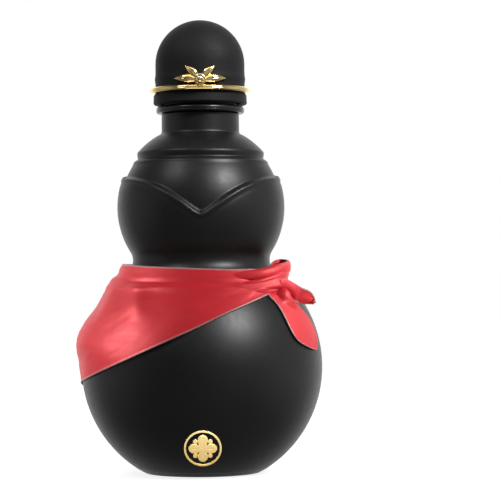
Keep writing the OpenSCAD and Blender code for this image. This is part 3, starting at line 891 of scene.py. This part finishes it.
def thick_sheet(P, free=(0, 0, 0, 1), t=0.42, hem_w=1.0, hem_t=0.42, flip=False, uv0=(0.0, 0.0)):
    """Closed cloth of thickness t round the grid P. Free edges carry a rolled
    hem. Returns verts, faces, uvs and the distance to the edge."""
    nu, nv = P.shape[:2]
    gu, gv = np.gradient(P, axis=0), np.gradient(P, axis=1)
    N = np.cross(gu, gv)
    N /= np.maximum(np.linalg.norm(N, axis=2), 1e-9)[..., None]
    if flip:
        N = -N
    d, su, sv = edge_distance(P, free)
    x = np.clip(d / hem_w, 0, 1)
    half = t / 2 * np.ones_like(d)
    roll = np.sqrt(np.maximum(0, 1 - ((x - 0.5) / 0.5) ** 2))
    half = np.where(x < 0.5, (t + hem_t) / 2 * roll, np.maximum(half, (t + hem_t) / 2 * roll))
    half = np.maximum(half, 0.03)
    top, bot = P + N * half[..., None], P - N * half[..., None]
    verts = np.concatenate([top.reshape(-1, 3), bot.reshape(-1, 3)])
    k = nu * nv
    faces = grid_faces(nu, nv, 0, flip=flip) + grid_faces(nu, nv, k, flip=not flip)
    def rim(ids):
        for a, b in zip(ids[:-1], ids[1:]):
            q = (a, b, b + k, a + k)
            faces.append(q[::-1] if not flip else q)
    ids = lambda i, j: i * nv + j
    rim([ids(i, nv - 1) for i in range(nu)][::-1])
    rim([ids(i, 0) for i in range(nu)])
    rim([ids(0, j) for j in range(nv)][::-1])
    rim([ids(nu - 1, j) for j in range(nv)])
    uv = np.stack([uv0[0] + su.mean(1)[:, None] * MM * np.ones((1, nv)), uv0[1] + sv * MM], -1).reshape(-1, 2)
    return verts, faces, np.concatenate([uv, uv]), np.concatenate([d.ravel(), d.ravel()])


# -- the part wrapped round the waist, with the hanging corner
def top_height(phi):
    return np.interp(phi, [0, 12, 24, 45, 65, 95, 125, 150, 180, 215, 260, 300, 330, 348, 360],
                     [91.5, 92.0, 92.6, 92.5, 92.9, 93.8, 94.8, 95.5, 95.4, 95.0, 94.7, 94.3, 93.8, 92.8, 92.3])


def edge_height(phi):
    """Lower edge: nearly straight seen from the front, a corner at the left
    rear, and rising again round the back."""
    phi = np.asarray(phi, float)
    a = np.abs(180 - phi)
    a = np.sqrt(a * a + 2.2**2) - 1.2
    rear = 37.0 + 45.7 * np.power(np.maximum(a, 0) / 165, 1.15)
    front_side = np.interp(phi, [0, 9, 13, 18, 23, 27.5, 36, 44.6, 51, 57.4, 68, 79.7, 90, 101.8, 112, 122, 131, 138.8, 147, 155, 163, 171, 180],
                           [87.5, 86.2, 84.2, 82.7, 81.8, 80.9, 78.8, 76.3, 74.2, 71.8, 67.3, 62.4, 58.0, 53.4, 50.0, 47.2, 45.0, 43.6, 42.5, 41.3, 39.8, 38.3, 37.0])
    return np.where(phi < 180, front_side, rear)


def wrap_grid():
    phi = np.concatenate([np.linspace(9, 60, 92)[:-1], np.linspace(60, 300, 300)[:-1], np.linspace(300, 351, 80)])
    zt = np.convolve(np.pad(top_height(phi), 12, mode="edge"), np.ones(25) / 25, mode="valid")
    fine = np.linspace(0, 360, 1441)
    soft = np.convolve(np.pad(edge_height(fine), 16, mode="edge"), np.hanning(33) / np.hanning(33).sum(), mode="valid")
    ze = np.minimum(np.interp(phi, fine, soft), zt - 6.0)
    n_out = 96
    tail = np.array([1.7, 1.3, 1.0, 0.75, 0.5, 0.28, 0.12, 0.0])
    rows_z, rows_r = [], []
    nphi = len(phi)
    wr = smooth_noise((nphi, n_out), (46, 12), 5)
    wr2 = smooth_noise((nphi, n_out), (110, 26), 6)
    body = n_out - len(tail)
    s = np.linspace(0, 1, body, endpoint=False) ** 1.0
    H = zt - ze
    slope = 0.80
    Z = np.concatenate([zt[:, None] - s[None, :] * (H[:, None] - 2.2 * slope), ze[:, None] + slope * tail[None, :]], 1)
    F = phi[:, None] * np.ones((1, n_out))
    T = zt[:, None] - Z
    share = T / H[:, None]
    # tight cloth bridges from its top edge to the lower bulb, then lies on it
    r_top = np.interp(phi, [0, 14, 30, 65, 120, 155, 200, 270, 320, 360], [36.9, 37.4, 37.6, 37.3, 36.8, 36.4, 36.3, 36.4, 36.4, 36.3])[:, None]
    line = r_top + 0.578 * T - 0.05 * np.maximum(T - 15, 0) ** 2
    skin = gourd_r(Z) + 0.62 + 0.75 * ease((Z - 83.6) / 2.6)
    k = 1.0
    R = np.maximum(line, skin) + k * np.log1p(np.exp(-np.abs(line - skin) / k)) * 0.30
    # on the left it hangs clear of the bulb's widest part
    hang = np.interp(Z, [42, 46, 51.5, 55.7, 59.8, 62.5, 65.3, 69.5, 73.6, 79.1], [54.9, 55.6, 56.3, 57.2, 57.4, 57.0, 56.0, 53.5, 50.3, 46.4])
    side = bump_at(F, 154, 36) * ease((80.5 - Z) / 6) * ease((Z - 41.0) / 3)
    R = R + side * np.maximum(hang - R, -0.4)
    # the cuff ends in a step, with a crease under it and a ridge below that
    cuff = bump_at(F, 152, 22)
    R += cuff * (0.9 * ease((T - 4.2) / 2.2) * (1 - ease((T - 9) / 8)) - 0.45 * bump_at(T, 3.6, 1.3))
    tv = np.interp(phi, [0, 20, 45, 65, 95, 112, 150, 200, 260, 320, 360], [5.2, 5.4, 5.6, 6.0, 6.3, 6.6, 4.9, 5.0, 5.6, 5.0, 5.0])[:, None]
    amp = np.interp(phi, [0, 15, 30, 100, 118, 135, 150, 190, 230, 260, 300, 360], [0.4, 1.0, 1.0, 1.0, 0.55, 0.15, 0.3, 0.9, 0.5, 0.9, 0.7, 0.9])[:, None]
    R += amp * (-0.80 * bump_at(T, tv, 1.2) + 0.55 * bump_at(T, tv + 2.5, 1.8))
    # where the crease ends on the left the cloth breaks into a soft Y fold
    R += 1.25 * bump_at(F, 106 - 0.55 * (T - 9), 7.0) * ease((T - 6.5) / 3.5) * (1 - ease((T - 15) / 13))
    R -= 0.22 * bump_at(F, 88 - 0.55 * (T - 9), 9.0) * ease((T - 8) / 4) * (1 - ease((T - 17) / 10))
    R += 0.40 * bump_at(F, 131 - 0.3 * (T - 9), 6.0) * ease((T - 8) / 4) * (1 - ease((T - 20) / 8))
    # two broad folds that slope down to the right, and one along the hem
    R += 0.62 * bump_at(T - 0.27 * (115 - F), 23.5, 6.6) * bump_at(F, 101, 24)
    R -= 0.14 * bump_at(T - 0.27 * (115 - F), 31.0, 5.5) * bump_at(F, 106, 22)
    R += 0.24 * bump_at(T - 0.20 * (112 - F), 37.0, 6.5) * bump_at(F, 116, 22)
    R += 0.35 * bump_at(F, 80, 10) * bump_at(share, 0.75, 0.25)
    # gathers that run into the knot
    for start, sign in ((0.0, 1), (360.0, -1)):
        x = sign * (F - start) * 0.74 + 3.0
        y = Z - 87.0
        ang = np.arctan2(y, np.maximum(x, 0.5))
        far = np.exp(-np.maximum(x - 8, 0) / 11.0)
        R += far * (0.30 * np.cos(ang * 13 + 0.6 * sign) + 0.12 * np.cos(ang * 24 + 1.3)) * ease((x - 1) / 6)
    # loose folds round the back
    back = bump_at(F, 255, 52)
    R += back * ease((share - 0.12) / 0.5) * (0.95 * np.sin(np.radians((F - 232) * 6.2) + 1.6 * share) + 0.45 * np.sin(np.radians((F - 200) * 11) - 1.1 * share) + 0.8)
    R += (0.22 * wr + 0.08 * wr2) * ease(T / 3.0) * (0.5 + 0.5 * ease((share) / 0.4)) * (1 - 0.6 * ease((share - 0.8) / 0.2)) * (0.45 + 0.55 * ease((F - 92) / 20))
    R = np.maximum(R, gourd_r(Z) + 0.46)
    outer = polar(KNOT_AZ - F, Z, R)
    # the cloth folds in over the top and runs a little way down inside
    arcs, r0 = [], 0.55
    for q in (0.25, 0.5, 0.75, 1.0):
        a = PI * q
        arcs.append(polar(KNOT_AZ - phi, zt + r0 * math.sin(a), R[:, 0] - r0 * (1 - math.cos(a))))
    inside = []
    for q in (0.6, 1.4, 2.4, 3.4):
        z = zt - q
        ri = np.maximum(R[:, 0] - 2 * r0 + 0.25 * q, gourd_r(z) + 0.35)
        inside.append(polar(KNOT_AZ - phi, z, ri))
    P = np.concatenate([np.stack((arcs + inside)[::-1], 1), outer], 1)
    return P


def strand(points, n=70, m=36, pleats=3, depth=0.16, phase=0.0, seed=1, twist=0.0, ends=(1.0, 1.0)):
    """A gathered strand of cloth: an oval tube with lengthwise pleats.
    points rows: x, y, z, half height, half thickness, outward x, y, z."""
    q = spline(points, n)
    p, a, b, hint = q[:, :3], q[:, 3], q[:, 4], q[:, 5:8]
    tan = np.gradient(p, axis=0)
    tan /= np.linalg.norm(tan, axis=1)[:, None]
    nrm = hint - tan * np.sum(hint * tan, 1)[:, None]
    nrm /= np.linalg.norm(nrm, axis=1)[:, None]
    side = np.cross(tan, nrm)
    s = np.linspace(0, 1, n)
    taper = np.minimum(1, ends[0] + (1 - ends[0]) * ease(s / 0.15)) * np.minimum(1, ends[1] + (1 - ends[1]) * ease((1 - s) / 0.15))
    th = np.linspace(0, 2 * PI, m, endpoint=False)
    wob = smooth_noise((n, m), (7, 5), seed)
    wob[:, -6:] = wob[:, -6:] * np.linspace(1, 0, 6) + wob[:, :1] * np.linspace(0, 1, 6)
    ridge = np.cos(pleats * 2 * np.sin(th)[None, :] + phase + 2.2 * s[:, None] + wob * 0.7)
    crease = 1 + depth * ridge * (0.4 + 0.6 * np.abs(np.cos(th))[None, :]) + 0.05 * wob
    th2 = th[None, :] + twist * s[:, None]
    u = a[:, None] * taper[:, None] * np.sign(np.sin(th2)) * np.abs(np.sin(th2)) ** 0.9 * crease
    v = b[:, None] * taper[:, None] * np.cos(th2) * crease
    P = p[:, None, :] + side[:, None, :] * u[..., None] + nrm[:, None, :] * v[..., None]
    verts = P.reshape(-1, 3)
    faces = []
    for i in range(n - 1):
        for k in range(m):
            l = (k + 1) % m
            faces.append((i * m + k, i * m + l, (i + 1) * m + l, (i + 1) * m + k))
    faces.append(tuple(range(m))[::-1])
    faces.append(tuple(range((n - 1) * m, n * m)))
    # orient outward
    vol = 0.0
    for fc in faces[: m * 4]:
        a0, b0, c0 = verts[fc[0]], verts[fc[1]], verts[fc[2]]
        vol += float(np.dot(np.cross(b0 - a0, c0 - a0), (a0 + b0 + c0) / 3 - p[2]))
    if vol < 0:
        faces = [fc[::-1] for fc in faces]
    ln = np.r_[0, np.cumsum(np.linalg.norm(np.diff(p, axis=0), axis=1))]
    uv = np.stack([ln[:, None] * MM * np.ones((1, m)), np.abs(np.linspace(-1, 1, m))[None, :] * (a[:, None] * 2) * MM], -1)
    return verts, faces, uv.reshape(-1, 2), np.full(len(verts), 9.0)


def front(u, v, r):
    """The point at distance r from the axis that shows at (u, v) in a front
    view 500 units wide, taken from 950 mm away at a height of 88.3 mm."""
    d = 40.0
    for _ in range(40):
        k = 0.46 * (950 - d) / 950
        x = (u - 201.3) * k
        d = 0.5 * d + 0.5 * math.sqrt(max(r * r - x * x, 0))
    return x, -d, 88.3 + (280 - v) * k


def S8(u, v, r, a, b):
    """A strand point: where it shows, distance from the axis, half sizes."""
    x, y, z = front(u, v, r)
    n = math.hypot(x, y)
    return (x, y, z, a, b, x / n, y / n, 0.0)


def knot_parts():
    out = []
    # upper roll of the loop: out of the cuff, round, and back behind itself
    loop = [
        S8(222, 276.8, 37.9, 1.2, 0.5), S8(232, 276.4, 38.5, 1.7, 0.7), S8(241, 275.9, 39.3, 2.0, 0.9), S8(251, 275.1, 40.4, 2.3, 1.2), S8(261, 273.9, 41.7, 2.4, 1.5),
        S8(270, 272.2, 42.7, 2.5, 1.6), S8(278, 270.2, 43.3, 2.6, 1.7), S8(284.5, 268.9, 43.3, 2.7, 1.6),
        (39.3, -13.6, 94.2, 2.7, 1.3, 0.80, 0.55, 0.1), (38.2, -9.2, 95.0, 2.6, 1.1, 0.55, 0.84, 0.1), (35.9, -7.6, 95.2, 2.5, 0.9, 0.0, 1.0, 0.1),
        (33.5, -9.6, 94.6, 2.4, 0.8, -0.75, 0.6, 0), (31.9, -13.6, 93.3, 2.4, 0.8, -1, 0.1, 0), (31.2, -17.8, 91.7, 2.3, 0.8, -1, 0, 0), (31.6, -21.6, 89.7, 2.0, 0.8, -1, -0.1, 0)]
    out.append(strand(loop, 150, 44, pleats=1, depth=0.07, phase=0.5, seed=11, ends=(0.25, 0.6)))
    # lower roll of the loop, under the crease
    under = [
        S8(240, 284.2, 40.9, 0.8, 0.4), S8(250, 283.6, 41.8, 1.2, 0.8), S8(259, 282.2, 42.8, 1.5, 1.2), S8(268, 280.0, 43.6, 1.7, 1.4),
        S8(276, 277.4, 44.0, 1.8, 1.4), S8(282, 274.6, 43.9, 1.8, 1.3), S8(286.4, 272.6, 42.6, 1.7, 1.1),
        (37.6, -12.0, 90.4, 1.5, 0.9, 0.8, 0.6, 0), (35.2, -10.8, 89.4, 1.2, 0.8, 0.3, 0.95, 0)]
    out.append(strand(under, 100, 40, pleats=1, depth=0.09, phase=1.6, seed=12, ends=(0.25, 0.5)))
    # the strand that becomes the short end
    low = [
        S8(226, 287.6, 42.3, 0.8, 0.3), S8(238, 287.6, 42.9, 1.3, 0.6), S8(250, 287.2, 43.3, 1.7, 0.9), S8(260, 286.2, 43.9, 2.0, 1.2),
        S8(268, 284.8, 44.5, 2.3, 1.5), S8(275, 283.4, 45.0, 2.5, 1.8), S8(281, 283.6, 45.2, 2.4, 1.8), S8(287, 286.0, 45.7, 2.1, 1.3), S8(292, 288.6, 46.4, 1.5, 0.8)]
    out.append(strand(low, 110, 40, pleats=2, depth=0.10, phase=2.4, seed=13, ends=(0.25, 0.3)))
    # gathered cloth that runs under it into the knot
    gather = [
        S8(240, 292.6, 43.0, 0.8, 0.3), S8(250, 291.8, 43.5, 1.5, 0.7), S8(259, 290.6, 44.0, 1.9, 1.0), S8(267, 289.4, 44.4, 2.0, 1.2), S8(274, 288.6, 44.3, 1.8, 1.2), S8(280, 288.4, 43.8, 1.4, 0.9)]
    out.append(strand(gather, 70, 36, pleats=2, depth=0.12, phase=0.8, seed=16, ends=(0.25, 0.4)))
    # cloth that comes round from the back into the knot
    rear = [
        (37.0, 12.5, 88.0, 2.0, 0.4, 0.95, 0.31, 0), (38.0, 5.0, 88.0, 2.8, 0.7, 1, 0.1, 0), (37.6, -3.0, 88.0, 3.0, 0.9, 1, -0.1, 0), (36.4, -10.5, 87.8, 3.0, 1.1, 0.96, -0.27, 0),
        (34.6, -16.5, 87.6, 3.0, 1.3, 0.9, -0.42, 0), (32.2, -21.5, 87.4, 3.0, 1.4, 0.84, -0.55, 0)]
    out.append(strand(rear, 70, 40, pleats=3, depth=0.16, phase=0.2, seed=14, ends=(0.35, 0.5)))
    # its lower part lies on the bulb and closes the knot below
    closing = []
    for az, off, z, a, b in ((10, 0.9, 84.6, 0.8, 0.3), (2, 1.1, 84.6, 1.9, 0.6), (-6, 1.3, 84.8, 2.6, 0.9), (-14, 1.5, 85.0, 3.1, 1.2),
                             (-22, 1.7, 85.3, 3.3, 1.4), (-29, 1.9, 85.6, 3.2, 1.5), (-36, 1.9, 85.8, 2.6, 1.5)):
        r, c, d = float(gourd_r(z)) + off, math.cos(math.radians(az)), math.sin(math.radians(az))
        closing.append((r * c, r * d, z, a, b, 0.75 * c, 0.75 * d, 0.66))
    out.append(strand(closing, 80, 40, pleats=2, depth=0.12, phase=1.1, seed=17, ends=(0.3, 0.5)))
    # the heart of the knot
    core = [S8(262, 290, 41.0, 2.4, 1.6), S8(268, 287.5, 42.2, 3.6, 2.2), S8(275, 285, 42.8, 4.3, 2.4), S8(281, 282, 42.4, 3.8, 2.2), S8(285, 278.5, 40.6, 2.6, 1.6)]
    out.append(strand(core, 40, 30, pleats=2, depth=0.1, phase=0.0, seed=15, ends=(0.3, 0.3)))
    return out


HEM = np.array([0.0, 0.010, 0.024, 0.042, 0.066, 0.095])


def sheet_between(left, right, n_along, n_across, relief, away=None):
    """Cloth between two edge lines of view points (u, v, r), raised by relief
    along its own normal side."""
    s = np.r_[np.linspace(0, 0.905, n_along - 6), 1 - HEM[::-1]]
    w = np.r_[HEM, np.linspace(0.12, 0.88, n_across - 12), 1 - HEM[::-1]]
    L = spline([front(*p) for p in left], None, s)
    R = spline([front(*p) for p in right], None, s)
    P = L[:, None, :] * (1 - w)[None, :, None] + R[:, None, :] * w[None, :, None]
    W, V = w[None, :] * np.ones((len(s), 1)), s[:, None] * np.ones((1, len(w)))
    out = np.dstack([P[..., 0], P[..., 1], 0 * P[..., 2]])
    out /= np.linalg.norm(out, axis=2)[..., None]
    if away is not None:
        out = out * 0.5 + np.asarray(away) * 0.5
        out /= np.linalg.norm(out, axis=2)[..., None]
    P = P + out * relief(W, V)[..., None]
    # never into the bulb
    r = np.hypot(P[..., 0], P[..., 1])
    low = gourd_r(P[..., 2]) + 0.75
    scale = np.where((P[..., 2] < 84) & (r < low), low / np.maximum(r, 1), 1.0)
    P[..., 0] *= scale
    P[..., 1] *= scale
    return P


def long_tail():
    left = [(274, 286.5, 43.0), (270.0, 290.5, 44.0), (266.6, 295.6, 44.4), (270.2, 301.0, 45.2), (273.8, 306.6, 46.2), (277.6, 314.0, 47.6), (281.4, 321.8, 49.2),
            (285.9, 330.8, 50.8), (290.3, 337.5, 52.0), (295.0, 342.3, 52.8), (302.0, 346.4, 53.6), (308.5, 349.3, 54.2), (313.6, 350.6, 54.6)]
    right = [(281, 285.5, 44.2), (284.4, 291.5, 45.2), (288.0, 297.2, 46.1), (292.2, 301.6, 46.9), (296.4, 305.4, 47.8), (300.4, 310.0, 48.9), (304.8, 315.6, 50.2),
             (309.4, 321.8, 51.7), (313.6, 330.0, 53.2), (315.8, 337.5, 54.3), (316.3, 343.5, 55.0), (315.7, 348.5, 55.0), (314.3, 350.5, 54.8)]
    def relief(w, v):
        h = 0.7 * np.sin(PI * np.clip(w, 0, 1)) * (0.4 + 0.6 * v)
        # a fold that climbs slowly from the left hem, drops on its right and
        # runs out to a point half way down
        c = 0.80 - 0.14 * ease(v / 0.5)
        climb = np.sin(0.5 * PI * np.clip(w / c, 0, 1)) ** 1.4
        drop = np.sin(0.5 * PI * np.clip((1 - w) / (1 - c), 0, 1)) ** 0.8
        fade = 1 - ease((v - 0.12) / 0.46)
        h = h + 3.5 * np.where(w < c, climb, drop) * fade * (0.5 + 0.5 * ease(v / 0.12))
        # the pocket beside its root, and the lap below the pocket
        h = h - 3.0 * bump_at(w, 0.30, 0.18) * ease(v / 0.05) * (1 - ease((v - 0.15) / 0.11))
        h = h + 0.8 * bump_at(w, 0.16 + 0.5 * (v - 0.20), 0.12) * ease((v - 0.20) / 0.06) * (1 - ease((v - 0.34) / 0.18))
        h = h - 0.5 * bump_at(w, 0.10, 0.08) * ease((v - 0.24) / 0.1) * (1 - ease((v - 0.75) / 0.2))
        h = h + 0.6 * bump_at(w, 0.30, 0.20) * ease((v - 0.42) / 0.16) * (1 - ease((v - 0.78) / 0.18))
        return h
    return sheet_between(left, right, 92, 56, relief)


def short_tail():
    upper = [(274, 281.0, 44.6), (279.5, 279.6, 45.3), (285.0, 280.3, 45.9), (290.5, 283.2, 47.0), (297.0, 286.6, 48.5), (303.5, 288.8, 50.2), (309.0, 291.4, 51.7), (312.6, 295.5, 52.8), (314.4, 300.5, 53.5), (315.2, 303.4, 53.9)]
    lower = [(272, 287.5, 44.2), (277.5, 290.0, 44.4), (283.2, 292.6, 45.0), (289.0, 297.2, 46.3), (295.0, 301.0, 47.9), (300.5, 303.2, 49.6), (305.5, 303.9, 51.1), (309.5, 304.0, 52.3), (312.5, 304.1, 53.1), (314.6, 304.2, 53.7)]
    def relief(w, v):
        fade = 1 - ease((v - 0.36) / 0.30)
        x = (w - 0.44) / 0.48
        h = 2.3 * np.sqrt(np.maximum(0.0, 1 - np.clip(np.abs(x), 0, 1) ** 2.4)) * (0.22 + 0.78 * fade) * ease(v / 0.10)
        h = h - 0.8 * bump_at(w, 0.90, 0.08) * fade
        h = h - 3.0 * w * ease((v - 0.46) / 0.24) * (1 - 0.5 * ease((v - 0.85) / 0.15))
        h = h + 0.3 * bump_at(w, 0.60, 0.26) * ease((v - 0.62) / 0.14) * (1 - ease((v - 0.88) / 0.12))
        return h
    return sheet_between(upper, lower, 76, 44, relief, away=(0.45, -0.86, 0.20))


def kerchief():
    wrap = wrap_grid()
    pieces = [thick_sheet(wrap, free=(0, 0, 0, 1), flip=True)]
    near_top = pieces[0][3].reshape(2, *wrap.shape[:2])
    # painted highlight: the folded top edge gets the same paler hem colour
    near_top[:, :, 5:9] = 0.4
    pieces.append(thick_sheet(long_tail(), free=(0, 1, 1, 1), uv0=(0.5, 0.0)))
    pieces.append(thick_sheet(short_tail(), free=(0, 1, 1, 1), flip=True, uv0=(0.6, 0.1)))
    pieces += knot_parts()
    verts, faces, uvs, edge = [], [], [], []
    for v, f, uv, e in pieces:
        k = sum(len(x) for x in verts)
        verts.append(v)
        faces += [tuple(i + k for i in q) for q in f]
        uvs.append(uv)
        edge.append(e)
    return build("red_kerchief", np.concatenate(verts), faces, np.concatenate(uvs), {"edge": np.concatenate(edge)})


scarf = place(kerchief(), "satin_cloth", "kerchief", "kerchief_band", "kerchief_drape", "kerchief_knot", "kerchief_tail_long", "kerchief_tail_short")

# --------------------------------------------------------------------- studio
scene = bpy.context.scene
scene.view_settings.view_transform = "Standard"

floor_mesh = bpy.data.meshes.new("floor")
S = 40.0
floor_mesh.from_pydata([(-S, -S, -0.0002), (S, -S, -0.0002), (S, S, -0.0002), (-S, S, -0.0002)], [], [(0, 1, 2, 3)])
floor = bpy.data.objects.new("floor", floor_mesh)
scene.collection.objects.link(floor)
fm, ft, fb = shader("floor", Base_Color=(0.45, 0.45, 0.45), Roughness=1.0)
fb.inputs["Specular IOR Level"].default_value = 0.0
fb.inputs["Emission Color"].default_value = (1, 1, 1, 1)
fb.inputs["Emission Strength"].default_value = 0.86
floor_mesh.materials.append(fm)
floor.visible_glossy = False
floor.visible_diffuse = False
floor.visible_shadow = False

world = bpy.data.worlds.new("studio")
scene.world = world
world.use_nodes = True
wt = world.node_tree
wt.nodes.clear()
sep = node(wt, "SeparateXYZ")
wt.links.new(node(wt, "TexCoord").outputs["Generated"], sep.inputs[0])


def lobe(value, lo, hi, gain):
    r = node(wt, "MapRange", interpolation_type="SMOOTHSTEP")
    r.inputs["From Min"].default_value, r.inputs["From Max"].default_value = lo, hi
    r.inputs["To Min"].default_value, r.inputs["To Max"].default_value = 0.0, gain
    wt.links.new(value, r.inputs["Value"])
    return r.outputs["Result"]


X, Y, Z = sep.outputs
level = 0.0
for term in (
    lobe(X, -0.30, 0.55, 0.12),
    lobe(Y, 0.30, 0.97, 1.20),
    lobe(X, 0.74, 1.00, 0.48),
    lobe(X, -0.78, -1.00, 0.44),
):
    level = math_node(wt, "ADD", term, level)
level = math_node(wt, "MULTIPLY", level, math_node(wt, "ADD", lobe(Z, -0.60, -0.10, 0.72), 0.28))
level = math_node(wt, "ADD", level, math_node(wt, "ADD", lobe(Z, 0.0, -0.55, 0.11), 0.078))
studio = node(wt, "Background", in_Color=(1, 1, 1, 1))
wt.links.new(level, studio.inputs["Strength"])
white = node(wt, "Background", in_Color=(1, 1, 1, 1), in_Strength=1.0)
pick = node(wt, "MixShader")
wt.links.new(node(wt, "LightPath").outputs["Is Camera Ray"], pick.inputs[0])
wt.links.new(studio.outputs[0], pick.inputs[1])
wt.links.new(white.outputs[0], pick.inputs[2])
wt.links.new(pick.outputs[0], node(wt, "OutputWorld").inputs[0])


def softbox(name, direction, distance, size, power, aim=(0, 0, 0.10), shape="DISK", size_y=None):
    d = Vector(direction).normalized()
    light = bpy.data.lights.new(name, "AREA")
    light.shape = shape
    light.size = size
    if size_y:
        light.size_y = size_y
    light.energy = power
    ob = bpy.data.objects.new(name, light)
    ob.location = Vector(aim) + d * distance
    ob.rotation_euler = (-d).to_track_quat("-Z", "Y").to_euler()
    scene.collection.objects.link(ob)
    return ob


def link_light(light, pieces, only=True):
    """Flags a lamp: it lights only these pieces, or everything but them."""
    group = bpy.data.collections.new(light.name + "_link")
    for ob in pieces:
        group.objects.link(ob)
    light.light_linking.receiver_collection = group
    for item in group.collection_objects:
        item.light_linking.link_state = "INCLUDE" if only else "EXCLUDE"


key = softbox("key", (0.53, -0.56, 0.64), 1.25, 0.38, 16.5)
fill = softbox("left_fill", (-0.50, -0.40, 0.77), 1.4, 0.45, 4.4)
for lamp in (key, fill):
    link_light(lamp, [scarf], only=False)
for name, way, dist, size, power in (("cloth_left", (-0.93, -0.22, 0.36), 1.2, 0.55, 13.5), ("cloth_right", (0.80, -0.25, 0.45), 1.2, 0.30, 5.5), ("cloth_behind", (0.66, 0.40, 0.64), 1.2, 0.30, 1.8)):
    link_light(softbox(name, way, dist, size, power, aim=(0, 0, 0.085)), [scarf])
near = softbox("cloth_near", (0.86, -0.47, 0.20), 0.14, 0.07, 0.17, aim=(0.036, -0.026, 0.092))
near.visible_camera = False
link_light(near, [scarf])
golden = [bpy.data.objects[n] for n in ("gold_hoop", "leaf_sprig", "sprig_bead")]
for name, way, size, power in (("gold_high", (0.0, -0.60, 0.85), 0.40, 2.6), ("gold_low", (0.0, -0.55, -0.85), 0.40, 2.2), ("gold_front", (0.0, -1.0, 0.12), 0.45, 0.55)):
    link_light(softbox(name, way, 1.0, 0.90, power, aim=(0, 0, 0.176), shape="RECTANGLE", size_y=size), golden)
link_light(softbox("mark_front", (0.10, -1.0, 0.02), 0.8, 0.35, 9.0, aim=(0, -0.04, 0.016)), [bpy.data.objects["gold_emblem"]])

camera = bpy.data.objects.new("camera", bpy.data.cameras.new("camera"))
camera.data.lens = 148.7
camera.data.sensor_width = 36.0
camera.data.clip_start, camera.data.clip_end = 0.05, 100.0
camera.location = (0.0, -0.95, 0.0883)
yaw, pitch, roll = math.atan(48.7 / 2065), math.atan(30 / 2065), math.radians(0.45)
look = Vector((math.sin(yaw) * math.cos(pitch), math.cos(yaw) * math.cos(pitch), math.sin(pitch)))
quat = look.to_track_quat("-Z", "Y")
from mathutils import Quaternion
camera.rotation_mode = "QUATERNION"
camera.rotation_quaternion = quat @ Quaternion((0, 0, 1), -roll)
scene.collection.objects.link(camera)
scene.camera = camera
